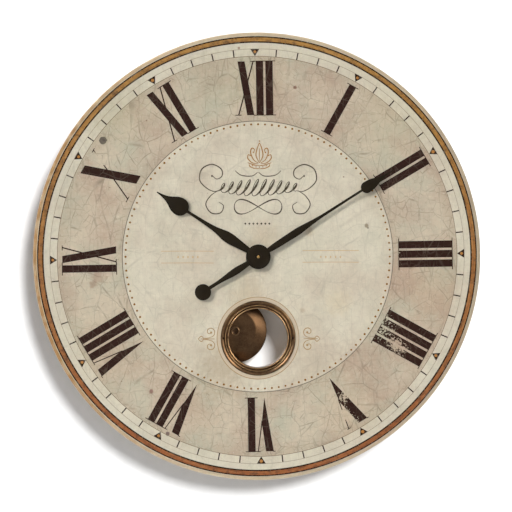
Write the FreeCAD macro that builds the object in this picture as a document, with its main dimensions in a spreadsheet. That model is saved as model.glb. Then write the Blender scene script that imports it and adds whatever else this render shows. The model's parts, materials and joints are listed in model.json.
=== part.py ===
"""Pendulum wall clock: a round dial panel on a spacer ring, a quartz movement and a swinging bob.

The wall is the plane Y = 0 and the dial faces -Y. +Z is up, and the hands turn about the Y axis.
A depth is a distance in front of the wall, so a point at depth d has Y = -d.
"""
import FreeCAD, Part
import math
import os
import Sketcher

doc = FreeCAD.newDocument("pendulum_wall_clock")

# ---------------------------------------------------------------- driving dimensions, mm and degrees
sizes = {
    # how far a cutting tool reaches past the face it cuts, and a length greater than any depth
    "cutSpare": 1, "fullDepth": 60,
    # dial panel and the ring behind it
    "dialRadius": 292.1, "ringDepth": 26, "panelThickness": 17, "panelRound": 5, "panelRearChamfer": 1,
    "faceRadius": 287, "faceThickness": 0.8,
    "ringOuter": 262, "ringInner": 236,
    # wood screws that join ring and panel
    "screwCircle": 249, "screwCount": 8, "screwFirst": 22.5, "screwHead": 4.2, "screwShank": 2,
    "screwLength": 38,
    # keyhole plate
    "plateSink": 0.2, "plateThickness": 1.5, "plateLength": 64, "plateHeight": 20, "plateCentre": 249,
    "keyholeRadius": 5, "keyholeDrop": 4, "keySlotRadius": 2.5, "keySlotRise": 4.5, "keyPocketDepth": 8,
    "keyPocketWidth": 14, "keyPocketHeight": 18,
    "plateScrewSpan": 48, "plateScrewHead": 3.4, "plateScrewShank": 1.6, "plateScrewLength": 14,
    # pendulum window and its rim
    "windowDrop": 106.1, "rimOuter": 48.8, "rimInner": 38.4, "rimTubeOuter": 40.6, "rimRise": 4.4,
    "rimTubeInset": 0.6, "rimPinOffset": 45, "rimPinRadius": 0.9, "rimPinLength": 12, "rimPinRise": 3,
    # movement box
    "caseWidth": 58, "caseTop": 31, "caseBottom": 53, "caseFront": 25, "caseJoint": 13, "caseRear": 5,
    "caseWall": 1.6, "caseRound": 3, "bayFloor": 12, "bayWall": 1.2, "bayMargin": 0.8, "bayEnd": 2,
    "gasketThickness": 1, "gasketInset": 2, "armSlotWidth": 34,
    "trainPlateRear": 13.2, "trainPlateThickness": 1.2, "trainPlateGap": 0.2,
    "socketWall": 0.8, "socketDepth": 0.6,
    # clamp through the panel
    "bushRadius": 5, "bushBore": 3.9, "bushFront": 47.2,
    "washerRadius": 9, "washerThickness": 0.6, "nutRadius": 8, "nutThickness": 2.5,
    # battery
    "batteryRadius": 7.25, "batteryLength": 49.2, "batteryHeight": 21.5, "batteryDepth": 13.5,
    "batteryChamfer": 0.6, "nubRadius": 2.7, "nubLength": 1.2,
    "contactThickness": 0.4, "contactWidth": 9, "contactMargin": 1, "contactRear": 4,
    "springRadius": 3.6, "springTip": 2, "springLength": 2,
    # electronics and stepping motor
    "boardLeft": 26, "boardFoot": 50, "boardLength": 25, "boardHeight": 13, "boardThickness": 1,
    "crystalRadius": 1, "crystalLength": 6, "crystalLeft": 22, "crystalDrop": 41,
    "chipRadius": 3, "chipHeight": 1.1, "chipLeft": 9, "chipDrop": 44,
    "statorGap": 1.1, "statorLength": 22, "statorWidth": 7.4, "statorThickness": 1, "statorBore": 2.9,
    "statorLegWidth": 2, "statorLegDrop": 11.5, "statorLegHeight": 9,
    "coilCoreDrop": 10.5, "coilCoreThickness": 1, "coilCoreHeight": 3,
    "coilRadius": 2.7, "coilLength": 16, "coilDrop": 9, "coilRise": 1.8,
    # hands
    "pipeOuter": 3.84, "pipeBore": 2.36, "pipeFront": 49.5,
    "arborRadius": 2.3, "arborThin": 0.95, "arborStep": 18.2, "arborThread": 1.9, "arborFront": 53,
    "arborTipChamfer": 0.3, "colletRadius": 5.2, "colletLip": 6.5, "colletLipDepth": 0.6, "colletRise": 0.2,
    "hourHandRear": 48, "minuteHandRear": 50.2, "handThickness": 0.8,
    "hourHub": 14, "hourReach": 156, "hourDirection": 302.6,
    "minuteHub": 16, "minuteHubThickness": 1.4, "minuteReach": 210, "minuteDirection": 57.4,
    "tailReach": 85.3, "tailDisc": 10.6, "handNutRadius": 4.4, "handNutThickness": 1.1,
    "handNutChamfer": 0.4,
    # gear train: tooth counts, modules and the directions from one axis to the next
    "centreTeeth": 60, "thirdPinion": 8, "centreModule": 0.35, "thirdAngle": 300,
    "thirdTeeth": 64, "secondsPinion": 8, "thirdModule": 0.25, "secondsAngle": 350,
    "secondsTeeth": 48, "intermediatePinion": 8, "secondsModule": 0.25, "intermediateAngle": 280,
    "intermediateTeeth": 40, "rotorPinion": 8, "intermediateModule": 0.25, "rotorAngle": 250,
    "cannonTeeth": 12, "motionTeeth": 36, "motionModule": 0.5, "motionAngle": 200,
    "motionPinion": 10, "hourTeeth": 40, "hourModule": 0.48, "knobTeeth": 12, "knobAngle": 205,
    "wheelThickness": 1, "pivotRadius": 0.5, "pivotClearance": 0.05, "pivotEndShake": 0.2,
    # rear depths and lengths of the toothed layers
    "thirdWheelRear": 16.9, "thirdPinionRear": 17.9, "thirdPinionLength": 2.1,
    "secondsWheelRear": 15.4, "secondsPinionRear": 16.4, "secondsPinionLength": 1.9,
    "intermediateWheelRear": 19, "intermediatePinionRear": 15, "intermediatePinionLength": 1.8,
    "rotorMagnetRadius": 2.4, "rotorMagnetRear": 15.2, "rotorMagnetLength": 1.6,
    "rotorPinionRear": 18.8, "rotorPinionLength": 1.4,
    "centreWheelRear": 18.6, "cannonBossRadius": 4, "cannonRear": 20.1, "cannonLength": 1.3,
    "motionWheelRear": 20.2, "motionPinionRear": 21.2, "motionPinionLength": 1.5, "hourWheelRear": 21.7,
    "knobRadius": 6.5, "knobGripTeeth": 30, "knobGripRear": 1.4, "knobGripLength": 3.2,
    "knobStem": 1.5, "knobStemClearance": 0.06, "knobStemFront": 21.6,
    # pendulum drive and pendulum
    "pivotDrop": 19.44, "restAngle": 20.34, "pendulumLength": 84, "yokeRear": 8, "yokeThickness": 2,
    "yokeReach": 40, "yokeWidth": 5, "yokePinRadius": 0.75, "yokeBossRadius": 3, "yokeBossRise": 0.8,
    "magnetDrop": 22.6, "magnetRadius": 3.5, "magnetCupWall": 1.6,
    "driveCoilOuter": 7, "driveCoilBore": 2, "driveCoilThickness": 2.8,
    "rodStart": 33, "rodEnd": 92, "rodWidth": 5, "rodThickness": 1, "rodPegRadius": 1.2,
    "rodPegInset": 3,
    "bobRadius": 41.9, "bobFlat": 27.5, "bobFront": 21, "bobBevel": 4, "bobSheet": 1,
    "bossRadius": 6.2, "bossRecess": 3.4, "bossHole": 3, "bossSpacer": 4,
}

sheet = doc.addObject("Spreadsheet::Sheet", "Sizes")
for row, (alias, value) in enumerate(sizes.items(), start=1):
    sheet.set(f"A{row}", alias)
    sheet.set(f"B{row}", str(value))
    sheet.setAlias(f"B{row}", alias)
doc.recompute()


def size(alias):
    """The number in one named cell."""
    return float(sheet.get(alias))


def cell(text):
    """An expression on the sheet: every word that is an alias is read from its cell."""
    words = sorted(sizes, key=len, reverse=True)
    out, position = "", 0
    while position < len(text):
        for word in words:
            if text.startswith(word, position):
                out += "Sizes." + word
                position += len(word)
                break
        else:
            out += text[position]
            position += 1
    return out


def value(text):
    """The number that an expression on the sheet gives now."""
    result = sheet.evalExpression(cell(text))
    return float(getattr(result, "Value", result))


nodes = []


def node(item, name):
    """Gives a finished sub-part its name and puts it on the list of pieces."""
    item.Label = name
    nodes.append(item)
    return item


def place(item, x="0", depth="0", z="0"):
    """Binds where an object stands to the sheet."""
    item.setExpression("Placement.Base.x", cell(x))
    item.setExpression("Placement.Base.y", cell(f"-({depth})"))
    item.setExpression("Placement.Base.z", cell(z))


# ---------------------------------------------------------------- how pieces are made
def turned(name, profile, x="0", z="0", pattern=None, offset="0"):
    """A turned piece: a profile of (radius, depth) expressions revolved about a line along Y.

    With a pattern of N the line stands at `offset` from the body's middle and is repeated N times.
    """
    body = doc.addObject("PartDesign::Body", name)
    body.AllowCompound = pattern is not None
    roles = {feature.Role: feature for feature in body.Origin.OriginFeatures}
    sketch = body.newObject("Sketcher::SketchObject", name + "_profile")
    sketch.AttachmentSupport = [(roles["XY_Plane"], "")]
    sketch.MapMode = "FlatFace"
    sketch.AttachmentOffset = FreeCAD.Placement(
        FreeCAD.Vector(), FreeCAD.Rotation(FreeCAD.Vector(1, 0, 0), 180))
    doc.recompute()
    numbers = [(value(f"{offset} + {radius}"), value(depth)) for radius, depth in profile]
    points = [FreeCAD.Vector(r, d, 0) for r, d in numbers]
    count = len(points)
    for i in range(count):
        sketch.addGeometry(Part.LineSegment(points[i], points[(i + 1) % count]), False)
    reach = size("fullDepth")
    axis = sketch.addGeometry(
        Part.LineSegment(FreeCAD.Vector(value(offset), 0, 0),
                         FreeCAD.Vector(value(offset), reach, 0)), True)
    if offset == "0":
        sketch.addConstraint(Sketcher.Constraint("PointOnObject", axis, 1, -2))
    else:
        line = sketch.addConstraint(Sketcher.Constraint("DistanceX", -1, 1, axis, 1, value(offset)))
        sketch.setExpression(f"Constraints[{line}]", cell(offset))
    sketch.addConstraint(Sketcher.Constraint("Vertical", axis))
    sketch.addConstraint(Sketcher.Constraint("PointOnObject", axis, 1, -1))
    sketch.addConstraint(Sketcher.Constraint("DistanceY", axis, 1, axis, 2, reach))
    for i, (radius, depth) in enumerate(profile):
        sketch.addConstraint(Sketcher.Constraint("Coincident", i, 2, (i + 1) % count, 1))
        if radius == "0":
            sketch.addConstraint(Sketcher.Constraint("PointOnObject", i, 1, axis))
        else:
            x_line = sketch.addConstraint(
                Sketcher.Constraint("DistanceX", -1, 1, i, 1, numbers[i][0]))
            sketch.setExpression(f"Constraints[{x_line}]", cell(f"{offset} + {radius}"))
        if depth == "0":
            sketch.addConstraint(Sketcher.Constraint("PointOnObject", i, 1, -1))
        else:
            y_line = sketch.addConstraint(
                Sketcher.Constraint("DistanceY", -1, 1, i, 1, numbers[i][1]))
            sketch.setExpression(f"Constraints[{y_line}]", cell(depth))
    turn = body.newObject("PartDesign::Revolution", name + "_turn")
    turn.Profile = sketch
    turn.ReferenceAxis = (sketch, ["Axis0"])
    turn.Angle = 360
    body.Tip = turn
    if pattern:
        doc.recompute()
        ring = body.newObject("PartDesign::PolarPattern", name + "_pattern")
        ring.Originals = [turn]
        ring.Axis = (roles["Y_Axis"], [""])
        ring.Angle = 360
        ring.setExpression("Occurrences", cell(pattern))
        body.Tip = ring
    place(body, x=x, z=z)
    doc.recompute()
    return body


def box(name, x, depth, z, length, thickness, height):
    """A block from its left, rear and lower faces, with its length, its depth and its height."""
    block = doc.addObject("Part::Box", name)
    block.setExpression("Length", cell(length))
    block.setExpression("Width", cell(thickness))
    block.setExpression("Height", cell(height))
    place(block, x=x, depth=f"{depth} + {thickness}", z=z)
    return block


def rod(name, x, z, depth, radius, length):
    """A round bar along Y that starts at a depth and runs forward."""
    bar = doc.addObject("Part::Cylinder", name)
    bar.Placement = FreeCAD.Placement(FreeCAD.Vector(), FreeCAD.Rotation(FreeCAD.Vector(1, 0, 0), 90))
    bar.setExpression("Radius", cell(radius))
    bar.setExpression("Height", cell(length))
    place(bar, x=x, depth=depth, z=z)
    return bar


def fuse(name, *pieces):
    joined = doc.addObject("Part::MultiFuse", name)
    joined.Shapes = list(pieces)
    return joined


def cut(name, base, *tools):
    """The base without the tools."""
    piece = doc.addObject("Part::Cut", name)
    piece.Base = base
    piece.Tool = tools[0] if len(tools) == 1 else fuse(name + "_tools", *tools)
    doc.recompute()
    return piece


def rounded(name, base, radius, along):
    """The base with its long edges along one direction rounded."""
    piece = doc.addObject("Part::Fillet", name)
    piece.Base = base
    doc.recompute()
    edges = []
    for index, edge in enumerate(base.Shape.Edges, start=1):
        if len(edge.Vertexes) == 2:
            run = (edge.Vertexes[1].Point - edge.Vertexes[0].Point).normalize()
            if abs(run.dot(along)) > 0.999:
                edges.append((index, size(radius), size(radius)))
    piece.Edges = edges
    doc.recompute()
    return piece


def shaped(name, shape, x="0", z="0"):
    """A piece whose outline is set by a formula."""
    piece = doc.addObject("Part::Feature", name)
    piece.Shape = shape
    place(piece, x=x, z=z)
    return piece


def bar_shape(radius, start, end):
    """A round bar on the Y axis between two depths."""
    return Part.makeCylinder(radius, end - start, FreeCAD.Vector(0, -start, 0), FreeCAD.Vector(0, -1, 0))


def plate_shape(outline, rear, thickness):
    """A flat plate whose outline lies in the XZ plane."""
    face = Part.Face(outline)
    face.translate(FreeCAD.Vector(0, -rear, 0))
    return face.extrude(FreeCAD.Vector(0, -thickness, 0))


# ---------------------------------------------------------------- gears
# tooth heights above and below the pitch circle in modules, and the half widths of a tooth at the
# root, the pitch circle and the tip as shares of its step
addendum, dedendum = 0.8, 1.15
root_share, pitch_share, tip_share = 0.27, 0.2, 0.1


def gear_shape(teeth, module, rear, thickness, turn):
    """A spur wheel on the Y axis. `turn` is the direction of one tooth, anticlockwise from +X."""
    pitch = module * teeth / 2
    root, tip = pitch - dedendum * module, pitch + addendum * module
    step = 360 / teeth
    corners = ((root, -root_share), (pitch, -pitch_share), (tip, -tip_share),
               (tip, tip_share), (pitch, pitch_share), (root, root_share))
    points = []
    for tooth in range(int(teeth)):
        for radius, share in corners:
            angle = math.radians(turn + (tooth + share) * step)
            points.append(FreeCAD.Vector(radius * math.cos(angle), 0, radius * math.sin(angle)))
    return plate_shape(Part.makePolygon(points + points[:1]), rear, thickness)


def mesh_turn(direction, teeth):
    """The turn that puts a gap of a driven wheel towards its driver, which lies behind `direction`."""
    return direction + 180 + 180 / teeth


def distance(wheel, pinion, module):
    """The distance between two meshed axes, as an expression."""
    return f"{module} * ({wheel} + {pinion}) / 2"


axes = {"centre": ("0", "0")}


def add_axis(name, start, gap, angle):
    """Puts an axis at a distance and a direction from another."""
    x, z = axes[start]
    axes[name] = (f"{x} + ({gap}) * cos({angle} * 1deg)", f"{z} + ({gap}) * sin({angle} * 1deg)")


add_axis("third", "centre", distance("centreTeeth", "thirdPinion", "centreModule"), "thirdAngle")
add_axis("seconds", "third", distance("thirdTeeth", "secondsPinion", "thirdModule"), "secondsAngle")
add_axis("intermediate", "seconds",
         distance("secondsTeeth", "intermediatePinion", "secondsModule"), "intermediateAngle")
add_axis("rotor", "intermediate",
         distance("intermediateTeeth", "rotorPinion", "intermediateModule"), "rotorAngle")
add_axis("motion", "centre", distance("cannonTeeth", "motionTeeth", "motionModule"), "motionAngle")
add_axis("knob", "motion", distance("knobTeeth", "motionTeeth", "motionModule"), "knobAngle")
axes["yoke"] = ("0", "-pivotDrop")


# ---------------------------------------------------------------- ring, panel and face
def wood_screw(name, head, shank, rear, end, **where):
    """A countersunk screw with its flat head towards the wall."""
    profile = [("0", rear), (head, rear), (shank, f"{rear} + {head} - {shank}"),
               (shank, f"{end} - 2 * {shank}"), ("0", end)]
    return turned(name, profile, **where)


ring_screws = node(wood_screw("ring_screws", "screwHead", "screwShank", "0", "screwLength",
                              pattern="screwCount", offset="screwCircle"), "ring_screws")
ring_screws.Placement = FreeCAD.Placement(
    FreeCAD.Vector(), FreeCAD.Rotation(FreeCAD.Vector(0, 1, 0), size("screwFirst")))

plate_screws = [
    wood_screw(f"plate_screw_{side}", "plateScrewHead", "plateScrewShank", "plateSink",
               "plateScrewLength", x=f"{sign} * plateScrewSpan / 2", z="plateCentre")
    for side, sign in (("left", -1), ("right", 1))]
hanger_screws = doc.addObject("Part::Compound", "hanger_screws")
hanger_screws.Links = plate_screws
node(hanger_screws, "hanger_screws")

plate_blank = rounded("hanger_plate_blank",
                      box("hanger_plate_block", "-plateLength / 2", "plateSink",
                          "plateCentre - plateHeight / 2", "plateLength", "plateThickness",
                          "plateHeight"), "caseRound", FreeCAD.Vector(0, 1, 0))
through_plate = "plateThickness + 2 * cutSpare"
key_hole = rod("key_hole", "0", "plateCentre - keyholeDrop", "-cutSpare", "keyholeRadius", through_plate)
key_slot = box("key_slot", "-keySlotRadius", "-cutSpare", "plateCentre - keyholeDrop",
               "2 * keySlotRadius", through_plate, "keyholeDrop + keySlotRise")
key_top = rod("key_top", "0", "plateCentre + keySlotRise", "-cutSpare", "keySlotRadius", through_plate)
node(cut("hanger_plate", plate_blank, key_hole, key_slot, key_top, hanger_screws), "hanger_plate")

ring_blank = turned("back_ring_blank", [("ringInner", "0"), ("ringOuter", "0"),
                                        ("ringOuter", "ringDepth"), ("ringInner", "ringDepth")])
plate_seat = rounded("plate_seat",
                     box("plate_seat_block", "-plateLength / 2", "-cutSpare",
                         "plateCentre - plateHeight / 2", "plateLength",
                         "plateSink + plateThickness + cutSpare", "plateHeight"),
                     "caseRound", FreeCAD.Vector(0, 1, 0))
key_pocket = box("key_pocket", "-keyPocketWidth / 2", "0", "plateCentre - keyPocketHeight / 2",
                 "keyPocketWidth", "plateSink + plateThickness + keyPocketDepth", "keyPocketHeight")
node(cut("back_ring", ring_blank, plate_seat, key_pocket, hanger_screws, ring_screws), "back_ring")

panel_front = "ringDepth + panelThickness"
face_front = "ringDepth + panelThickness + faceThickness"
panel_blank = turned("dial_panel_blank", [
    ("bushRadius", "ringDepth"), ("dialRadius - panelRearChamfer", "ringDepth"),
    ("dialRadius", "ringDepth + panelRearChamfer"), ("dialRadius", panel_front + " - panelRound"),
    ("dialRadius - (1 - sin(45deg)) * panelRound", panel_front + " - (1 - sin(45deg)) * panelRound"),
    ("dialRadius - panelRound", panel_front), ("bushRadius", panel_front)])
window_hole = rod("window_hole", "0", "-windowDrop", "0", "rimTubeOuter", "fullDepth")

# brass rim: a tube through the panel with a stepped flange on the dial
rim_blank = turned("window_rim_blank", [
    ("rimInner", "ringDepth + rimTubeInset"), ("rimTubeOuter", "ringDepth + rimTubeInset"),
    ("rimTubeOuter", face_front),
    ("rimOuter", face_front), ("rimOuter", face_front + " + 1.2"),
    ("rimOuter - 1.2", face_front + " + 2.2"), ("rimOuter - 3.4", face_front + " + 2.6"),
    ("rimOuter - 5.2", face_front + " + rimRise"), ("rimOuter - 6.6", face_front + " + rimRise"),
    ("rimOuter - 7.6", face_front + " + 2.6"), ("rimOuter - 8.8", face_front + " + 2.4"),
    ("rimOuter - 9.6", face_front + " + 2.8"), ("rimInner", face_front + " + 2.2")],
    z="-windowDrop")
pins = [rod(f"rim_pin_{side}", f"{sign} * rimPinOffset", "-windowDrop",
            face_front + " + rimPinRise - rimPinLength", "rimPinRadius", "rimPinLength")
        for side, sign in (("left", -1), ("right", 1))]
rim_pins = doc.addObject("Part::Compound", "rim_pins")
rim_pins.Links = pins
node(rim_pins, "rim_pins")
node(cut("window_rim", rim_blank, rim_pins), "window_rim")

node(cut("dial_panel", panel_blank, window_hole, ring_screws, rim_pins), "dial_panel")
face_blank = turned("dial_face_blank", [("bushRadius", panel_front), ("faceRadius", panel_front),
                                        ("faceRadius", face_front), ("bushRadius", face_front)])
node(cut("dial_face", face_blank, window_hole, rim_pins), "dial_face")

# ---------------------------------------------------------------- movement: case, cover and clamp
inner_width = "caseWidth - 2 * caseWall"
inner_left = "-caseWidth / 2 + caseWall"
along_y = FreeCAD.Vector(0, 1, 0)


def shell(name, rear, front, cavity_rear, cavity_front):
    """A rounded box, the cavity in it, and the rib between battery bay and train."""
    outer = rounded(name + "_outer",
                    box(name + "_block", "-caseWidth / 2", rear, "-caseBottom", "caseWidth",
                        f"{front} - {rear}", "caseTop + caseBottom"), "caseRound", along_y)
    cavity = box(name + "_cavity", inner_left, cavity_rear, "-caseBottom + caseWall", inner_width,
                 f"{cavity_front} - ({cavity_rear})", "caseTop + caseBottom - 2 * caseWall")
    rib = box(name + "_rib", inner_left, cavity_rear, "bayFloor", inner_width,
              f"{cavity_front} - ({cavity_rear})", "bayWall")
    return fuse(name + "_shell", cut(name + "_hollow", outer, cavity), rib)


case_shell = shell("case", "caseJoint", "caseFront", "caseJoint", "caseFront - caseWall")
bush_hole = rod("bush_hole", "0", "0", "caseFront - caseWall", "bushRadius", "caseWall + cutSpare")
bosses, sockets = [], []
for name in ("third", "seconds", "intermediate", "rotor", "motion"):
    x, z = axes[name]
    bosses.append(rod(f"{name}_boss", x, z, "caseFront - caseWall - socketDepth",
                      "pivotRadius + socketWall", "socketDepth"))
    sockets.append(rod(f"{name}_socket", x, z, "caseFront - caseWall - socketDepth",
                       "pivotRadius + pivotClearance", "2 * socketDepth"))
case_body = fuse("case_body", case_shell, *bosses)
node(cut("movement_case", case_body, bush_hole, *sockets), "movement_case")

cover_shell = shell("cover", "caseRear", "caseJoint", "caseRear + caseWall", "caseJoint")
through_wall = "caseWall + 2 * cutSpare"
bay_mouth = box("bay_mouth", "-batteryLength / 2 - bayEnd", "caseRear - cutSpare",
                "bayFloor + bayWall + bayMargin", "batteryLength + 2 * bayEnd", through_wall,
                "caseTop - caseWall - bayFloor - bayWall - 2 * bayMargin")
arm_slot = box("arm_slot", "-armSlotWidth / 2", "caseRear + caseWall", "-caseBottom - cutSpare",
               "armSlotWidth", "caseJoint - caseRear - caseWall", through_wall)
knob_hole = rod("knob_hole", *axes["knob"], "caseRear - cutSpare", "knobStem + knobStemClearance",
                through_wall)
node(cut("movement_cover", cover_shell, bay_mouth, arm_slot, knob_hole), "movement_cover")

train_block = box("train_block", f"{inner_left} + trainPlateGap", "trainPlateRear",
                  "-caseBottom + caseWall + trainPlateGap", f"{inner_width} - 2 * trainPlateGap",
                  "trainPlateThickness", "caseBottom - caseWall + bayFloor - 2 * trainPlateGap")
pivot_hole = "pivotRadius + pivotClearance"
hole_radii = {"centre": "arborThin + pivotClearance", "third": pivot_hole, "seconds": pivot_hole,
              "intermediate": pivot_hole, "rotor": pivot_hole, "motion": pivot_hole,
              "knob": "knobStem + knobStemClearance", "yoke": "yokePinRadius"}
plate_holes = [rod(f"{name}_plate_hole", *axes[name], "trainPlateRear - cutSpare", radius,
                   "trainPlateThickness + 2 * cutSpare")
               for name, radius in hole_radii.items()]
node(cut("train_plate", train_block, *plate_holes), "train_plate")
train_front = "trainPlateRear + trainPlateThickness"

node(turned("threaded_bushing", [
    ("bushBore", "caseFront - caseWall"), ("bushRadius", "caseFront - caseWall"),
    ("bushRadius", "bushFront"), ("bushBore", "bushFront")]), "threaded_bushing")
gasket_edge = "-caseWidth / 2 + gasketInset"
gasket_width = "caseWidth - 2 * gasketInset"
gasket_block = box("gasket_block", gasket_edge, "caseFront", gasket_edge, gasket_width,
                   "gasketThickness", gasket_width)
gasket_hole = rod("gasket_hole", "0", "0", "caseFront - cutSpare", "bushRadius",
                  "gasketThickness + 2 * cutSpare")
node(cut("rubber_gasket", gasket_block, gasket_hole), "rubber_gasket")
node(turned("dial_washer", [
    ("bushRadius", face_front), ("washerRadius", face_front),
    ("washerRadius", face_front + " + washerThickness"),
    ("bushRadius", face_front + " + washerThickness")]), "dial_washer")
nut_rear = face_front + " + washerThickness"
nut_block = doc.addObject("Part::Prism", "nut_block")
nut_block.Polygon = 6
nut_block.Placement = FreeCAD.Placement(FreeCAD.Vector(), FreeCAD.Rotation(FreeCAD.Vector(1, 0, 0), 90))
nut_block.setExpression("Circumradius", cell("nutRadius"))
nut_block.setExpression("Height", cell("nutThickness"))
place(nut_block, depth=nut_rear)
nut_hole = rod("nut_hole", "0", "0", "0", "bushRadius", "fullDepth")
node(cut("hex_nut", nut_block, nut_hole), "hex_nut")

# ---------------------------------------------------------------- movement: electric pieces
battery_can = turned("battery_can", [
    ("0", "0"), ("batteryRadius - batteryChamfer", "0"), ("batteryRadius", "batteryChamfer"),
    ("batteryRadius", "batteryLength - batteryChamfer"),
    ("batteryRadius - batteryChamfer", "batteryLength"),
    ("nubRadius", "batteryLength"), ("nubRadius", "batteryLength + nubLength"),
    ("0", "batteryLength + nubLength")])
battery_can.Placement = FreeCAD.Placement(FreeCAD.Vector(), FreeCAD.Rotation(FreeCAD.Vector(0, 0, 1), 90))
place(battery_can, x="-batteryLength / 2", depth="batteryDepth", z="batteryHeight")
node(battery_can, "battery")
contact_height = "caseTop - caseWall - bayFloor - bayWall - 2 * contactMargin"
contact_rear = "caseJoint - contactRear"
contact_foot = "bayFloor + bayWall + contactMargin"
plus_x = "batteryLength / 2 + nubLength"
node(box("battery_contact_plus", plus_x, contact_rear, contact_foot, "contactThickness",
         "contactWidth", contact_height), "battery_contact_plus")
minus_leaf = box("minus_leaf", "-batteryLength / 2 - springLength - contactThickness", contact_rear,
                 contact_foot, "contactThickness", "contactWidth", contact_height)
minus_cone = doc.addObject("Part::Cone", "minus_cone")
minus_cone.Placement = FreeCAD.Placement(FreeCAD.Vector(), FreeCAD.Rotation(FreeCAD.Vector(0, 1, 0), 90))
minus_cone.setExpression("Radius1", cell("springRadius"))
minus_cone.setExpression("Radius2", cell("springTip"))
minus_cone.setExpression("Height", cell("springLength"))
place(minus_cone, x="-batteryLength / 2 - springLength", depth="batteryDepth", z="batteryHeight")
node(fuse("battery_contact_minus", minus_leaf, minus_cone), "battery_contact_minus")

node(box("circuit_board", "-boardLeft", train_front, "-boardFoot", "boardLength", "boardThickness",
         "boardHeight"), "circuit_board")
board_front = train_front + " + boardThickness"
crystal = doc.addObject("Part::Cylinder", "quartz_crystal")
crystal.Placement = FreeCAD.Placement(FreeCAD.Vector(), FreeCAD.Rotation(FreeCAD.Vector(0, 1, 0), 90))
crystal.setExpression("Radius", cell("crystalRadius"))
crystal.setExpression("Height", cell("crystalLength"))
place(crystal, x="-crystalLeft", depth=board_front + " + crystalRadius", z="-crystalDrop")
node(crystal, "quartz_crystal")
node(rod("controller_chip", "-chipLeft", "-chipDrop", board_front, "chipRadius", "chipHeight"),
     "controller_chip")

rotor_x, rotor_z = axes["rotor"]
stator_rear = train_front + " + statorGap"
stator_bar = box("stator_bar", f"{rotor_x} - statorLength / 2", stator_rear,
                 f"{rotor_z} - statorWidth / 2", "statorLength", "statorThickness", "statorWidth")
stator_legs = [box(f"stator_leg_{side}", f"{rotor_x} + {shift}", stator_rear,
                   f"{rotor_z} - statorLegDrop", "statorLegWidth", "statorThickness",
                   "statorLegHeight")
               for side, shift in (("left", "-statorLength / 2"),
                                   ("right", "statorLength / 2 - statorLegWidth"))]
stator_hole = rod("stator_hole", rotor_x, rotor_z, train_front, "statorBore",
                  "statorGap + statorThickness + cutSpare")
node(cut("motor_stator", fuse("stator_frame", stator_bar, *stator_legs), stator_hole), "motor_stator")
coil_core = box("coil_core", f"{rotor_x} - statorLength / 2", stator_rear + " + statorThickness",
                f"{rotor_z} - coilCoreDrop", "statorLength", "coilCoreThickness", "coilCoreHeight")
coil_wire = doc.addObject("Part::Cylinder", "coil_wire")
coil_wire.Placement = FreeCAD.Placement(FreeCAD.Vector(), FreeCAD.Rotation(FreeCAD.Vector(0, 1, 0), 90))
coil_wire.setExpression("Radius", cell("coilRadius"))
coil_wire.setExpression("Height", cell("coilLength"))
place(coil_wire, x=f"{rotor_x} - coilLength / 2", depth=stator_rear + " + coilRise",
      z=f"{rotor_z} - coilDrop")
node(fuse("motor_coil", coil_core, coil_wire), "motor_coil")

# pendulum drive on the wall side of the train plate
node(turned("pendulum_coil", [
    ("driveCoilBore", "trainPlateRear - driveCoilThickness"),
    ("driveCoilOuter", "trainPlateRear - driveCoilThickness"),
    ("driveCoilOuter", "trainPlateRear"), ("driveCoilBore", "trainPlateRear")],
    z="-pivotDrop - magnetDrop"), "pendulum_coil")
node(rod("yoke_pin", *axes["yoke"], "caseRear + caseWall", "yokePinRadius",
         "trainPlateRear + trainPlateThickness - caseRear - caseWall"), "yoke_pin")

# ---------------------------------------------------------------- wheels
thickness = size("wheelThickness")
pivot = size("pivotRadius")
pivot_rear = size("trainPlateRear") + size("pivotEndShake")
pivot_front = size("caseFront") - size("caseWall")


def wheel_and_pinion(name, wheel, pinion):
    """Two toothed rings on one thin arbor. Each ring is (teeth, module, rear depth, thickness, turn)."""
    shape = bar_shape(pivot, pivot_rear, pivot_front)
    shape = shape.fuse([gear_shape(*wheel), gear_shape(*pinion)]).removeSplitter()
    return node(shaped(name, shape, *axes[name.split("_")[0]]), name)


third_angle, seconds_angle = size("thirdAngle"), size("secondsAngle")
intermediate_angle, rotor_angle = size("intermediateAngle"), size("rotorAngle")
motion_angle, knob_angle = size("motionAngle"), size("knobAngle")
wheel_and_pinion(
    "third_wheel",
    (size("thirdTeeth"), size("thirdModule"), size("thirdWheelRear"), thickness, seconds_angle),
    (size("thirdPinion"), size("centreModule"), size("thirdPinionRear"), size("thirdPinionLength"),
     mesh_turn(third_angle, size("thirdPinion"))))
wheel_and_pinion(
    "seconds_wheel",
    (size("secondsTeeth"), size("secondsModule"), size("secondsWheelRear"), thickness,
     intermediate_angle),
    (size("secondsPinion"), size("thirdModule"), size("secondsPinionRear"),
     size("secondsPinionLength"), mesh_turn(seconds_angle, size("secondsPinion"))))
wheel_and_pinion(
    "intermediate_wheel",
    (size("intermediateTeeth"), size("intermediateModule"), size("intermediateWheelRear"), thickness,
     rotor_angle),
    (size("intermediatePinion"), size("secondsModule"), size("intermediatePinionRear"),
     size("intermediatePinionLength"), mesh_turn(intermediate_angle, size("intermediatePinion"))))
wheel_and_pinion(
    "motion_wheel",
    (size("motionTeeth"), size("motionModule"), size("motionWheelRear"), thickness,
     mesh_turn(motion_angle, size("motionTeeth"))),
    (size("motionPinion"), size("hourModule"), size("motionPinionRear"), size("motionPinionLength"),
     motion_angle + 180))

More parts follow.
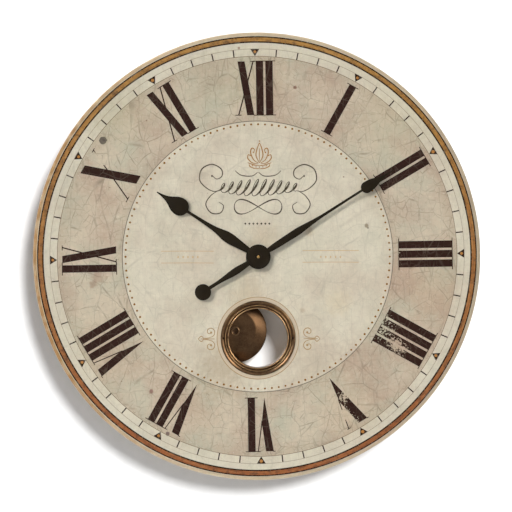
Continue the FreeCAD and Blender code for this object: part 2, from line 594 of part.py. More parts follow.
# the rotor's pinion is left as the plain core of its teeth, clear of the wheel it would drive
rotor_core = size("intermediateModule") * (size("rotorPinion") / 2 - dedendum)
magnet_rear, core_rear = size("rotorMagnetRear"), size("rotorPinionRear")
rotor_shape = bar_shape(pivot, pivot_rear, pivot_front).fuse(
    [bar_shape(size("rotorMagnetRadius"), magnet_rear, magnet_rear + size("rotorMagnetLength")),
     bar_shape(rotor_core, core_rear, core_rear + size("rotorPinionLength"))]).removeSplitter()
node(shaped("rotor", rotor_shape, *axes["rotor"]), "rotor")

centre_rear, cannon_rear = size("centreWheelRear"), size("cannonRear")
centre_shape = gear_shape(size("centreTeeth"), size("centreModule"), centre_rear, thickness, third_angle)
centre_shape = centre_shape.fuse(
    [bar_shape(size("cannonBossRadius"), centre_rear + thickness, cannon_rear),
     gear_shape(size("cannonTeeth"), size("motionModule"), cannon_rear, size("cannonLength"),
                motion_angle)])
centre_shape = centre_shape.cut(bar_shape(size("arborRadius"), 0, size("fullDepth"))).removeSplitter()
node(shaped("centre_wheel", centre_shape), "centre_wheel")
arbor_rear = "trainPlateRear + pivotEndShake"
hub_front = "minuteHandRear + minuteHubThickness"
node(turned("minute_arbor", [
    ("0", arbor_rear), ("arborThin", arbor_rear), ("arborThin", "arborStep"),
    ("arborRadius", "arborStep"), ("arborRadius", hub_front), ("arborThread", hub_front),
    ("arborThread", "arborFront - arborTipChamfer"),
    ("arborThread - arborTipChamfer", "arborFront"), ("0", "arborFront")]), "minute_arbor")

hour_rear = size("hourWheelRear")
hour_shape = gear_shape(size("hourTeeth"), size("hourModule"), hour_rear, thickness,
                        mesh_turn(motion_angle + 180, size("hourTeeth")))
hour_shape = hour_shape.fuse(bar_shape(size("pipeOuter"), hour_rear, size("pipeFront")))
hour_shape = hour_shape.cut(bar_shape(size("pipeBore"), 0, size("fullDepth"))).removeSplitter()
node(shaped("hour_wheel", hour_shape), "hour_wheel")

grip_teeth, grip_rear = size("knobGripTeeth"), size("knobGripRear")
grip_front = grip_rear + size("knobGripLength")
knob_shape = gear_shape(size("knobTeeth"), size("motionModule"), size("motionWheelRear"), thickness,
                        mesh_turn(knob_angle, size("knobTeeth")))
knob_grip = gear_shape(grip_teeth, size("knobRadius") / (grip_teeth / 2 + addendum), grip_rear,
                       grip_front - grip_rear, 0)
knob_shape = knob_shape.fuse(
    [bar_shape(size("knobStem"), grip_front, size("knobStemFront")), knob_grip]).removeSplitter()
node(shaped("setting_knob", knob_shape, *axes["knob"]), "setting_knob")


# ---------------------------------------------------------------- hands
def hand_point(along, side):
    """A point at a distance from the arbor along a hand that points straight up."""
    return FreeCAD.Vector(side, 0, along)


def blade_wire(stations):
    """A closed outline from (distance, half width) stations, each side one smooth curve."""
    right = [hand_point(along, half) for along, half in stations]
    left = [hand_point(along, -half) for along, half in reversed(stations)]
    edges = []
    for side in (right, left):
        curve = Part.BSplineCurve()
        curve.interpolate(side)
        edges.append(curve.toShape())
    edges.append(Part.LineSegment(right[-1], left[0]).toShape())
    edges.append(Part.LineSegment(left[-1], right[0]).toShape())
    return Part.Wire(Part.__sortEdges__(edges))


def spade_stations(centre, bulb, tip):
    """A round bulb that draws out in a hollow curve to a thin point."""
    reach = tip - centre
    return [(centre - 0.99 * bulb, 0.16 * bulb), (centre - 0.86 * bulb, 0.52 * bulb),
            (centre - 0.5 * bulb, 0.87 * bulb), (centre, bulb), (centre + 0.22 * reach, 0.87 * bulb),
            (centre + 0.42 * reach, 0.52 * bulb), (centre + 0.6 * reach, 0.27 * bulb),
            (centre + 0.8 * reach, 0.13 * bulb), (tip, 0.05 * bulb)]


def hand_shape(hub, hub_thickness, rear, hole, direction, blades, discs=()):
    """A flat hand: a round hub, its blades and discs, a hole, turned clockwise to its direction."""
    flat = size("handThickness")
    pieces = [plate_shape(blade_wire(blade), rear, flat) for blade in blades]
    for along, radius in discs:
        disc = bar_shape(radius, rear, rear + flat)
        disc.translate(FreeCAD.Vector(0, 0, along))
        pieces.append(disc)
    shape = bar_shape(hub, rear, rear + hub_thickness).fuse(pieces)
    shape = shape.cut(bar_shape(hole, rear - 1, rear + hub_thickness + 1)).removeSplitter()
    shape.rotate(FreeCAD.Vector(), FreeCAD.Vector(0, 1, 0), direction)
    return shape


hour_leaf = [(10, 3.2), (20, 4.6), (32, 5.8), (43, 6.2), (54, 4.6), (66, 2.4), (80, 1.5), (112, 1.3)]
hour_spade = spade_stations(120.7, 11.7, size("hourReach"))
node(shaped("hour_hand", hand_shape(
    size("hourHub"), size("handThickness"), size("hourHandRear"), size("colletRadius"),
    size("hourDirection"), [hour_leaf, hour_spade])), "hour_hand")
node(turned("hour_collet", [
    ("pipeOuter", "hourHandRear - colletLipDepth"), ("colletLip", "hourHandRear - colletLipDepth"),
    ("colletLip", "hourHandRear"), ("colletRadius", "hourHandRear"),
    ("colletRadius", "hourHandRear + handThickness + colletRise"),
    ("pipeOuter", "hourHandRear + handThickness + colletRise")]), "hour_collet")

minute_leaf = [(12, 2.8), (24, 4.0), (38, 5.0), (48, 4.6), (62, 2.8), (78, 1.7), (100, 1.4), (162, 1.2)]
minute_spade = spade_stations(167.6, 7.6, size("minuteReach"))
tail_leaf = [(-12, 3.0), (-22, 4.4), (-32, 4.4), (-44, 3.4), (-58, 2.0), (-70, 1.5), (-80, 1.5)]
node(shaped("minute_hand", hand_shape(
    size("minuteHub"), size("minuteHubThickness"), size("minuteHandRear"), size("arborRadius"),
    size("minuteDirection"), [minute_leaf, minute_spade, tail_leaf],
    [(-size("tailReach"), size("tailDisc"))])), "minute_hand")
node(turned("hand_nut", [
    ("arborThread", hub_front), ("handNutRadius", hub_front),
    ("handNutRadius", hub_front + " + handNutThickness - handNutChamfer"),
    ("handNutRadius - handNutChamfer", hub_front + " + handNutThickness"),
    ("arborThread", hub_front + " + handNutThickness")]), "hand_nut")

# ---------------------------------------------------------------- pendulum, built hanging from its pivot
rest_turn = FreeCAD.Rotation(FreeCAD.Vector(0, 1, 0), size("restAngle"))


def hang(item, drop="0", rear="0"):
    """Hangs a piece from the yoke's pivot at the rest swing, `drop` below it along the pendulum."""
    item.Placement = FreeCAD.Placement(FreeCAD.Vector(), rest_turn)
    place(item, x=f"-({drop}) * sin(restAngle * 1deg)", depth=rear,
          z=f"-pivotDrop - ({drop}) * cos(restAngle * 1deg)")
    return item


yoke_rear, yoke_front = size("yokeRear"), size("yokeRear") + size("yokeThickness")
arm = Part.makeBox(size("yokeWidth"), size("yokeThickness"), size("yokeReach"),
                   FreeCAD.Vector(-size("yokeWidth") / 2, -yoke_front, -size("yokeReach")))
magnet_cup = bar_shape(size("magnetRadius") + size("magnetCupWall"), yoke_rear, yoke_front)
magnet_seat = bar_shape(size("magnetRadius"), 0, size("fullDepth"))
for round_bar in (magnet_cup, magnet_seat):
    round_bar.translate(FreeCAD.Vector(0, 0, -size("magnetDrop")))
foot = bar_shape(size("yokeWidth") / 2, yoke_rear, yoke_front)
foot.translate(FreeCAD.Vector(0, 0, -size("yokeReach")))
peg_drop = FreeCAD.Vector(0, 0, -size("rodStart") - size("rodPegInset"))
peg_hole = bar_shape(size("rodPegRadius"), 0, size("fullDepth"))
peg_hole.translate(peg_drop)
pin_hole = bar_shape(size("yokePinRadius") + size("pivotClearance"), 0, size("fullDepth"))
boss_rise = size("yokeBossRise")
yoke_shape = bar_shape(size("yokeBossRadius"), yoke_rear - boss_rise, yoke_front + boss_rise)
yoke_shape = yoke_shape.fuse([arm, magnet_cup, foot]).cut([magnet_seat, peg_hole, pin_hole])
node(hang(shaped("pendulum_yoke", yoke_shape.removeSplitter())), "pendulum_yoke")
node(hang(turned("yoke_magnet", [
    ("0", "yokeRear"), ("magnetRadius", "yokeRear"), ("magnetRadius", "yokeRear + yokeThickness"),
    ("0", "yokeRear + yokeThickness")]), drop="magnetDrop"), "yoke_magnet")

strip = Part.makeBox(size("rodWidth"), size("rodThickness"), size("rodEnd") - size("rodStart"),
                     FreeCAD.Vector(-size("rodWidth") / 2, -yoke_front - size("rodThickness"),
                                    -size("rodEnd")))
peg = bar_shape(size("rodPegRadius"), yoke_rear, yoke_front)
peg.translate(peg_drop)
node(hang(shaped("pendulum_rod", strip.fuse(peg).removeSplitter())), "pendulum_rod")

bob_back = "bobFront - bobSheet"
node(hang(turned("pendulum_bob", [
    ("bossHole", bob_back), ("bobFlat - 1", bob_back), ("bobRadius", "bobFront - bobBevel - bobSheet"),
    ("bobRadius", "bobFront - bobBevel"), ("bobFlat", "bobFront"), ("bossHole", "bobFront")]),
    drop="pendulumLength"), "pendulum_bob")
rod_front = "yokeRear + yokeThickness + rodThickness"
node(hang(turned("bob_boss", [
    ("0", rod_front), ("bossSpacer", rod_front), ("bossSpacer", bob_back), ("bossHole", bob_back),
    ("bossHole", "bobFront"), ("bossRadius", "bobFront"), ("bossRadius", "bobFront + 0.8"),
    ("bossRecess + 0.6", "bobFront + 1.3"), ("bossRecess", "bobFront + 1.3"),
    ("bossRecess", "bobFront + 0.4"), ("0", "bobFront + 0.4")]), drop="pendulumLength"), "bob_boss")

# ---------------------------------------------------------------- check and write
doc.recompute()
for item in doc.Objects:
    if "Invalid" in item.State or "Error" in item.State:
        raise RuntimeError(f"{item.Label} failed: {item.State}")
os.makedirs("parts", exist_ok=True)
for item in nodes:
    if item.Shape.isNull() or not item.Shape.isValid():
        raise RuntimeError(f"{item.Label} has no valid shape")
    item.Shape.exportStep(os.path.join("parts", item.Label + ".step"))
    bounds = item.Shape.BoundBox
    print(f"{item.Label:24s} {len(item.Shape.Solids)} solid(s) {item.Shape.Volume:12.1f} mm3  "
          f"x {bounds.XMin:.1f}..{bounds.XMax:.1f}  y {bounds.YMin:.1f}..{bounds.YMax:.1f}  "
          f"z {bounds.ZMin:.1f}..{bounds.ZMax:.1f}")
print(len(nodes), "nodes")
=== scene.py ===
# Pendulum wall clock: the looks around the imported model.
# Metres: the wall is y = 0, the dial faces -y and +z is up. A depth is a distance from the wall, in mm.
import json
from math import cos, hypot, pi, radians, sin, sqrt

import bmesh
import bpy
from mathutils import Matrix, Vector

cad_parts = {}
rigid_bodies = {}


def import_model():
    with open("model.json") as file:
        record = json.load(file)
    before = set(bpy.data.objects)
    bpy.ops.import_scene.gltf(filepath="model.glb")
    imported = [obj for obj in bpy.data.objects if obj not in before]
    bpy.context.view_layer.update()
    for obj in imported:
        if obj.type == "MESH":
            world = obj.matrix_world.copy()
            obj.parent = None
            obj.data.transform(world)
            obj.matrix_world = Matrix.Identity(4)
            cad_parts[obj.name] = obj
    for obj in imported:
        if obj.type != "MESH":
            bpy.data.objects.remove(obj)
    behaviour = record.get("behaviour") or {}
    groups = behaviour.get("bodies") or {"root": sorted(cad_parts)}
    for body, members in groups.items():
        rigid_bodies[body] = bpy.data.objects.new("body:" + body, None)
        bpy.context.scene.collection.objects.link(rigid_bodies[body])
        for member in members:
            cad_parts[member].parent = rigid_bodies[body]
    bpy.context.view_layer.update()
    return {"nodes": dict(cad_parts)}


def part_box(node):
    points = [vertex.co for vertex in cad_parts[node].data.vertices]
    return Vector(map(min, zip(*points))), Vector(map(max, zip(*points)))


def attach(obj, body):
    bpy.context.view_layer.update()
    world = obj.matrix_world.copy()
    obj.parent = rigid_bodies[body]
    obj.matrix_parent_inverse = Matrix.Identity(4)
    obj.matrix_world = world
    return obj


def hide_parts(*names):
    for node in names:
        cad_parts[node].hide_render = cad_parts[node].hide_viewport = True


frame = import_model()
nodes = frame["nodes"]
mm = 0.001
print("frame loaded:", len(nodes), "nodes")


# small tools
def hexColour(text):
    channels = [int(text[i:i + 2], 16) / 255 for i in (1, 3, 5)]
    return [c / 12.92 if c <= 0.04045 else ((c + 0.055) / 1.055) ** 2.4 for c in channels] + [1.0]


def feed(tree, node, inputs):
    # inputs: a list in the node's order or a dictionary by name or number, of values, hex colours or links
    for key, value in inputs.items() if isinstance(inputs, dict) else enumerate(inputs):
        if isinstance(value, bpy.types.Node):
            value = next(s for s in value.outputs if s.enabled)
        if isinstance(value, bpy.types.NodeSocket):
            tree.links.new(value, node.inputs[key])
        else:
            node.inputs[key].default_value = hexColour(value) if isinstance(value, str) else value


def put(tree, kind, inputs=(), operation=None, **settings):
    # adds one node with its settings and links; a kind without "Node" in it is a shader node's
    made = tree.nodes.new(kind if "Node" in kind else "ShaderNode" + kind)
    if operation:
        made.operation = operation
    for key, value in settings.items():
        setattr(made, key, value)
    feed(tree, made, inputs)
    return made


def newMaterial(name, values):
    # a cleared material with one Principled shader: returns it, its tree, its shader and object coordinates
    material = bpy.data.materials.new(name)
    material.use_nodes = True
    tree = material.node_tree
    tree.nodes.clear()
    shader = put(tree, "BsdfPrincipled", values)
    put(tree, "OutputMaterial", {"Surface": shader})
    where = put(tree, "TexCoord").outputs["Object"]
    return material, tree, shader, where


def fillRamp(ramp, stops):
    # stops: (position, colour or grey)
    elements = ramp.color_ramp.elements
    while len(elements) > 1:
        elements.remove(elements[-1])
    for number, (position, colour) in enumerate(stops):
        element = elements[0] if number == 0 else elements.new(position)
        element.position = position
        element.color = hexColour(colour) if isinstance(colour, str) else [colour, colour, colour, 1.0]


def meshPiece(name, shape, materials, sharpAngle=32):
    # shape: vertices (x, depth, z) in mm, and faces. Doubles are merged, faces turned outwards, and the
    # shell is smooth apart from real corners
    mesh = bpy.data.meshes.new(name)
    mesh.from_pydata([(x * mm, -depth * mm, z * mm) for x, depth, z in shape[0]], [], shape[1])
    shell = bmesh.new()
    shell.from_mesh(mesh)
    bmesh.ops.remove_doubles(shell, verts=shell.verts, dist=1e-7)
    bmesh.ops.recalc_face_normals(shell, faces=shell.faces)
    shell.to_mesh(mesh)
    shell.free()
    mesh.shade_smooth()
    mesh.set_sharp_from_angle(angle=radians(sharpAngle))
    for material in materials:
        mesh.materials.append(material)
    piece = bpy.data.objects.new(name, mesh)
    bpy.context.scene.collection.objects.link(piece)
    return piece


def softProfile(points, radius, steps=4):
    # a closed profile with each corner drawn round
    out = []
    count = len(points)
    for i in range(count):
        before, corner, after = (Vector(points[(i + k - 1) % count]) for k in range(3))
        if corner.x < 1e-6:
            out.append(tuple(corner))
            continue
        reachIn = min(radius, (before - corner).length * 0.45)
        reachOut = min(radius, (after - corner).length * 0.45)
        start = corner + (before - corner).normalized() * reachIn
        end = corner + (after - corner).normalized() * reachOut
        for step in range(steps + 1):
            t = step / steps
            out.append(tuple(start * (1 - t) ** 2 + corner * 2 * t * (1 - t) + end * t * t))
    return out


def turnedMesh(profile, centre=(0, 0), segments=96):
    # a closed (radius, depth) profile turned about a line along y; radius 0 closes on a pole
    verts, faces, rows = [], [], []
    for radius, depth in profile:
        if radius < 1e-6:
            rows.append([len(verts)] * segments)
            verts.append((centre[0], depth, centre[1]))
        else:
            rows.append(list(range(len(verts), len(verts) + segments)))
            for k in range(segments):
                angle = 2 * pi * k / segments
                verts.append((centre[0] + radius * sin(angle), depth,
                              centre[1] + radius * cos(angle)))
    for i in range(len(rows)):
        here, there = rows[i], rows[(i + 1) % len(rows)]
        if profile[i][0] < 1e-6 and profile[(i + 1) % len(rows)][0] < 1e-6:
            continue
        for k in range(segments):
            n = (k + 1) % segments
            face = [here[k], here[n], there[n], there[k]]
            faces.append(tuple(dict.fromkeys(face)))
    return verts, faces


def addTogether(parts):
    # several (verts, faces) as one
    verts, faces = [], []
    for partVerts, partFaces in parts:
        shift = len(verts)
        verts += partVerts
        faces += [tuple(i + shift for i in face) for face in partFaces]
    return verts, faces


def roundOutline(radius, count, x=0, z=0, phase=0):
    angles = [2 * pi * k / count + phase for k in range(count)]
    return [(x + radius * sin(a), z + radius * cos(a)) for a in angles]


def rectangle(half, tall):
    return [(-half, -tall), (half, -tall), (half, tall), (-half, tall)]


def prismMesh(outline, front, rear):
    # a flat closed plate from an (x, z) outline between two depths
    count = len(outline)
    verts = [(x, front, z) for x, z in outline] + [(x, rear, z) for x, z in outline]
    faces = [tuple(range(count)), tuple(range(2 * count - 1, count - 1, -1))]
    faces += [(i, (i + 1) % count, count + (i + 1) % count, count + i) for i in range(count)]
    return verts, faces


def smoothLine(points, steps=8):
    # a smooth line through points of any dimension
    points = [Vector(p) for p in points]
    out = []
    for i in range(len(points) - 1):
        a = points[max(i - 1, 0)]
        b, c = points[i], points[i + 1]
        d = points[min(i + 2, len(points) - 1)]
        for step in range(steps):
            t = step / steps
            out.append(0.5 * ((2 * b) + (c - a) * t + (2 * a - 5 * b + 4 * c - d) * t * t
                              + (3 * b - a - 3 * c + d) * t ** 3))
    out.append(points[-1])
    return out


def strokeMesh(line, width, front, rear, rise=0.0):
    # a pen stroke: a closed ribbon along (x, z) points, width a function of the share of its length
    verts, faces = [], []
    count = len(line)
    for i, point in enumerate(line):
        ahead = line[min(i + 1, count - 1)] - line[max(i - 1, 0)]
        side = Vector((-ahead.y, ahead.x)).normalized() * width(i / (count - 1)) / 2
        left, right = point + side, point - side
        top = front + rise * i / count
        verts += [(left.x, top, left.y), (right.x, top, right.y),
                  (right.x, rear, right.y), (left.x, rear, left.y)]
        if i:
            a, b = 4 * i - 4, 4 * i
            faces += [(a + k, b + k, b + (k + 1) % 4, a + (k + 1) % 4) for k in range(4)]
    faces += [(0, 1, 2, 3), tuple(4 * count - 4 + k for k in (3, 2, 1, 0))]
    return verts, faces


def rideOn(piece, body, slotName, *stoodFor):
    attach(piece, body)
    if stoodFor:
        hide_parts(*stoodFor)
    return piece


def newTree(name, kind, inputs, outputs):
    # a node group with its named sockets: returns it and the outputs of its input node
    tree = bpy.data.node_groups.new(name, kind)
    for way, sockets in (("INPUT", inputs), ("OUTPUT", outputs)):
        for label, what in sockets.items():
            tree.interface.new_socket(label, in_out=way, socket_type="NodeSocket" + what)
    return tree, put(tree, "NodeGroupInput").outputs


def endRepeat(tree, start, places):
    # sets the copies, makes them real and gives them their material
    copies = put(tree, "GeometryNodeInstanceOnPoints", {"Instance": start["Geometry"], **places})
    real = put(tree, "GeometryNodeRealizeInstances", [copies])
    painted = put(tree, "GeometryNodeSetMaterial", {"Geometry": real, "Material": start["Material"]})
    put(tree, "NodeGroupOutput", {"Geometry": painted})
    return tree


# geometry nodes: copies of a small shape set round a ring, tops outward
def ringRepeatTree():
    tree, start = newTree("ringRepeat", "GeometryNodeTree", {
        "Geometry": "Geometry", "Count": "Int", "Radius": "Float", "Turn": "Float", "Skip": "Int",
        "Spread": "Float", "Seed": "Int", "Material": "Material"}, {"Geometry": "Geometry"})
    index = put(tree, "GeometryNodeInputIndex")
    share = put(tree, "Math", [index, start["Count"]], "DIVIDE")
    angle = put(tree, "Math", [share, 2 * pi, start["Turn"]], "MULTIPLY_ADD")
    sine = put(tree, "Math", [angle], "SINE")
    cosine = put(tree, "Math", [angle], "COSINE")
    across = put(tree, "Math", [sine, start["Radius"]], "MULTIPLY")
    up = put(tree, "Math", [cosine, start["Radius"]], "MULTIPLY")
    place = put(tree, "CombineXYZ", {"X": across, "Z": up})
    points = put(tree, "GeometryNodePoints", {"Count": start["Count"], "Position": place})
    remainder = put(tree, "Math", [index, start["Skip"]], "MODULO")
    isFirst = put(tree, "Math", [remainder, 0.5], "LESS_THAN")
    skips = put(tree, "Math", [start["Skip"], 0.5], "GREATER_THAN")
    dropped = put(tree, "Math", [isFirst, skips], "MULTIPLY")
    kept = put(tree, "Math", [1.0, dropped], "SUBTRACT")
    least = put(tree, "Math", [1.0, start["Spread"]], "SUBTRACT")
    most = put(tree, "Math", [1.0, start["Spread"]], "ADD")
    scale = put(tree, "FunctionNodeRandomValue", {2: least, 3: most, "Seed": start["Seed"]},
                data_type="FLOAT")
    size = put(tree, "CombineXYZ", {"Y": 1.0, "X": scale, "Z": scale})  # depth is kept
    turn = put(tree, "CombineXYZ", {"Y": angle})
    return endRepeat(tree, start, {"Points": points, "Selection": kept, "Rotation": turn, "Scale": size})


# geometry nodes: copies of a small shape in a straight row
def rowRepeatTree():
    tree, start = newTree("rowRepeat", "GeometryNodeTree", {
        "Geometry": "Geometry", "Count": "Int", "Start": "Vector", "Step": "Vector",
        "Material": "Material"}, {"Geometry": "Geometry"})
    row = put(tree, "GeometryNodeMeshLine", {
        "Count": start["Count"], "Start Location": start["Start"], "Offset": start["Step"]}, mode="OFFSET")
    return endRepeat(tree, start, {"Points": row})


def settle(piece):
    # what the modifier makes becomes the piece's own plain mesh, and the modifier goes
    graph = bpy.context.evaluated_depsgraph_get()
    mesh = bpy.data.meshes.new_from_object(piece.evaluated_get(graph), depsgraph=graph)
    piece.modifiers.clear()
    mesh.name = piece.name
    piece.data = mesh
    return piece


def repeat(name, shape, tree, **values):
    # copies of one shape by a tree, whose inputs are set by identifier
    piece = meshPiece(name, shape, [])
    modifier = piece.modifiers.new(tree.name, "NODES")
    modifier.node_group = tree
    for item in tree.interface.items_tree:
        if item.in_out == "INPUT" and item.name in values:
            modifier[item.identifier] = values[item.name]
    return settle(piece)


ringRepeat = ringRepeatTree()
rowRepeat = rowRepeatTree()


def cutRound(piece, centre, radius, front=70, rear=-5):
    # bores a round hole along y through a piece
    shape = turnedMesh([(0, rear), (radius, rear), (radius, front), (0, front)], centre, 128)
    modifier = piece.modifiers.new("bore", "BOOLEAN")
    modifier.operation = "DIFFERENCE"
    modifier.solver = "EXACT"
    modifier.object = meshPiece("cutter", shape, [])
    cutter = modifier.object
    settle(piece)
    piece.data.shade_smooth()
    piece.data.set_sharp_from_angle(angle=radians(32))
    bpy.data.objects.remove(cutter)
    return piece


# printed paper: an old, cracked and foxed print on laid paper, sealed with matt lacquer.
# It gives a warm uneven cream, a darker numeral band and a net of fine brown cracks.
paper = {
    "inner": "#DAD3BE", "bandInner": "#C3B49C", "band": "#CDC1AA", "bandOuter": "#C0B199",
    "track": "#D8D2BE", "edge": "#D0BFA2", "edgeWorn": "#9E7848",
    "green": "#B9B8A2", "pink": "#B49C87", "crackInk": "#5F523F", "speck": "#7C5A44", "grain": "#E4DDCB",
    "discRadius": 176.4, "bandRadius": 260.5, "faceRadius": 287,
    "crackCell": 34, "crackWidth": 0.65,  # mm; the real lines are hair thin, drawn wide enough to show
    "fineCell": 11, "fineWidth": 0.42,
    "longCell": 22, "longWidth": 0.5,
    "fibreAcross": 0.5, "fibreAlong": 9,  # mm
}
# x, z, radius in mm, softness as a share of the radius, colour, strength
stainsAndPaintedShadow = [
    (-201.5, 151, 5.2, 0.2, "#33222A", 0.95), (48, 220, 3.0, 0.4, "#7A4334", 0.85),
    (142, 40.5, 3.6, 0.7, "#7E6A4C", 0.75), (143.5, 37.5, 1.6, 0.5, "#5F4C38", 0.7),
    (-208, -26, 15, 0.8, "#96664E", 0.42), (-214, -36, 7, 0.7, "#8A5A44", 0.4),
    (-118, -230, 3.2, 0.4, "#5A3E48", 0.8), (-139, -175, 3.4, 0.45, "#84504A", 0.75),
    (-25, 271, 1.8, 0.4, "#8A5C50", 0.7), (-186, -132, 2.2, 0.6, "#8E6652", 0.6),
    # the soft brown patch at x 66, z 34 lies beside the minute hand where its shadow falls: a painted shadow
    (66, 34, 10, 0.95, "#B79C74", 0.45), (8, 26, 30, 0.95, "#C9B28E", 0.3),
    (-15, -48, 34, 0.95, "#C2AD86", 0.3), (104, -60, 26, 0.95, "#CDBC98", 0.4),
    (58, -70, 5, 0.8, "#A58C66", 0.45), (-190, 190, 70, 0.95, "#B4AE8C", 0.35),
    (170, 175, 75, 0.95, "#B9AD8D", 0.3), (232, -40, 60, 0.95, "#BBA184", 0.35),
    (120, -195, 70, 0.95, "#C0A88A", 0.3), (-200, -120, 80, 0.95, "#C1AC8E", 0.25),
    (-46, -146, 52, 0.95, "#A48B69", 0.42), (72, -142, 50, 0.95, "#B29D86", 0.35),
    (150, -150, 60, 0.95, "#A98F7C", 0.4), (-80, -205, 50, 0.95, "#B59B82", 0.35),
    (-60, 225, 60, 0.95, "#A9A58C", 0.4), (40, 205, 34, 0.95, "#B39E8C", 0.4),
    (205, 60, 40, 0.95, "#B8A28E", 0.4), (-235, 60, 42, 0.95, "#B9A58D", 0.35),
    (0, 225, 60, 0.95, "#B7AD8A", 0.25),
]


def agedPaperGroup():
    tree, start = newTree("agedPaper", "ShaderNodeTree", {"Position": "Vector"}, {
        "Colour": "Color", "Crack": "Float", "Height": "Float", "Radius": "Float"})
    flat = put(tree, "VectorMath", [start["Position"], (1000, 0, 1000)], "MULTIPLY")
    radius = put(tree, "VectorMath", [flat], "LENGTH").outputs["Value"]
    share = put(tree, "Math", [radius, 300], "DIVIDE")
    zones = put(tree, "ValToRGB", [share])
    disc, band, face = paper["discRadius"], paper["bandRadius"], paper["faceRadius"]
    fillRamp(zones, [(r / 300, paper[key]) for r, key in (
        (0, "inner"), (disc - 0.6, "inner"), (disc + 0.4, "bandInner"), (disc + 14, "band"),
        (band - 18, "band"), (band - 0.8, "bandOuter"), (band + 0.3, "track"), (face - 0.5, "track"),
        (face + 0.8, "edge"))])
    weight = put(tree, "ValToRGB", [share])
    fillRamp(weight, [(0, 0.38), ((disc - 1) / 300, 0.42), ((disc + 1) / 300, 1.0),
                      ((band - 1) / 300, 1.0), ((band + 1) / 300, 0.28), (1, 0.3)])

    # mottling, greenish and pinkish, each patch 20 to 60 mm
    colour = zones
    for key, scale, offset, strength in (("green", 0.022, 0, 0.8), ("pink", 0.017, 340, 0.8)):
        moved = put(tree, "VectorMath", [flat, (offset, offset, 0)], "ADD")
        cloud = put(tree, "TexNoise", {"Vector": moved, "Scale": scale, "Detail": 6, "Roughness": 0.62})
        amount = put(tree, "MapRange", [cloud, 0.44, 0.66, 0, strength])
        amount = put(tree, "Math", [amount, weight], "MULTIPLY")
        colour = put(tree, "Mix", {0: amount, 6: colour, 7: paper[key]}, data_type="RGBA")

    # pale grains where the lacquer has blistered, 2 to 4 mm
    moved = put(tree, "TexNoise", {"Vector": flat, "Scale": 0.3, "Detail": 5, "Roughness": 0.7})
    amount = put(tree, "MapRange", [moved, 0.56, 0.7, 0, 0.4])
    colour = put(tree, "Mix", {0: amount, 6: colour, 7: paper["grain"]}, data_type="RGBA")

    # staining and blots with ragged edges, and one painted shadow beside the minute hand
    ragged = put(tree, "TexNoise", {"Vector": flat, "Scale": 0.16, "Detail": 5})
    for x, z, size, softness, tone, strength in stainsAndPaintedShadow:
        gap = put(tree, "VectorMath", [flat, (x, 0, z)], "DISTANCE")
        rough = put(tree, "Math", [ragged, size * 1.3, -size * 0.65], "MULTIPLY_ADD")
        edge = put(tree, "Math", [gap.outputs["Value"], rough], "ADD")
        mask = put(tree, "MapRange", [edge, size, size * (1 - softness), 0, strength],
                   interpolation_type="SMOOTHSTEP")
        colour = put(tree, "Mix", {0: mask, 6: colour, 7: tone}, data_type="RGBA")

    # cracks: cell borders bent by noise, broken up by a second noise
    bend = put(tree, "TexNoise", {"Vector": flat, "Scale": 0.03, "Detail": 3})
    centred = put(tree, "VectorMath", [bend.outputs["Color"], (0.5, 0.5, 0.5)], "SUBTRACT")
    crack = None
    for cell, width, reach, cover, strength, squeeze in (
            (paper["crackCell"], paper["crackWidth"], 12, 0.34, 0.9, 1.0),
            (paper["fineCell"], paper["fineWidth"], 5, 0.38, 0.8, 1.0),
            (paper["longCell"], paper["longWidth"], 8, 0.36, 0.9, 0.28)):
        shift = put(tree, "VectorMath", {0: centred, "Scale": reach}, "SCALE")
        bent = put(tree, "VectorMath", [flat, shift], "ADD")
        bent = put(tree, "VectorMath", [bent, (1, 0, squeeze)], "MULTIPLY")
        cells = put(tree, "TexVoronoi", {"Vector": bent, "Scale": 1 / cell}, feature="DISTANCE_TO_EDGE")
        line = put(tree, "MapRange", [cells, width / cell, 0, 0, 1])
        breaks = put(tree, "TexNoise", {"Vector": flat, "Scale": 1.7 / cell, "Detail": 4, "W": cell},
                     noise_dimensions="4D")
        here = put(tree, "MapRange", [breaks, cover, cover + 0.3, 0, strength])
        part = put(tree, "Math", [line, here], "MULTIPLY")
        crack = part if crack is None else put(tree, "Math", [crack, part], "MAXIMUM")
    seen = put(tree, "Math", [crack, weight], "MULTIPLY")
    seen = put(tree, "Math", [seen, 0.62], "MULTIPLY")
    colour = put(tree, "Mix", {0: seen, 6: colour, 7: paper["crackInk"]}, data_type="RGBA")

    # specks of foxing, 1 to 2 mm, in some of the cells
    dots = put(tree, "TexVoronoi", {"Vector": flat, "Scale": 1 / 16}, feature="F1")
    chosen = put(tree, "SeparateColor", {"Color": dots.outputs["Color"]})
    picked = put(tree, "MapRange", [chosen.outputs["Red"], 0.62, 1, 0, 0.085])
    speck = put(tree, "Math", [picked, dots.outputs["Distance"]], "SUBTRACT")
    speck = put(tree, "MapRange", [speck, 0, 0.04, 0, 0.75])
    colour = put(tree, "Mix", {0: speck, 6: colour, 7: paper["speck"]}, data_type="RGBA")

    # the lacquered edge is rubbed through to orange brown on the left
    parts = put(tree, "SeparateXYZ", [flat])
    side = put(tree, "MapRange", [parts.outputs["X"], -90, -270])
    outer = put(tree, "MapRange", [radius, face - 0.5, face + 1])
    worn = put(tree, "TexNoise", {"Vector": flat, "Scale": 0.06, "Detail": 5})
    worn = put(tree, "MapRange", [worn, 0.3, 0.6, 0.3])
    side = put(tree, "Math", [side, worn, 0.16], "MULTIPLY_ADD")
    side = put(tree, "Math", [side, outer], "MULTIPLY")
    colour = put(tree, "Mix", {0: side, 6: colour, 7: paper["edgeWorn"]}, data_type="RGBA")

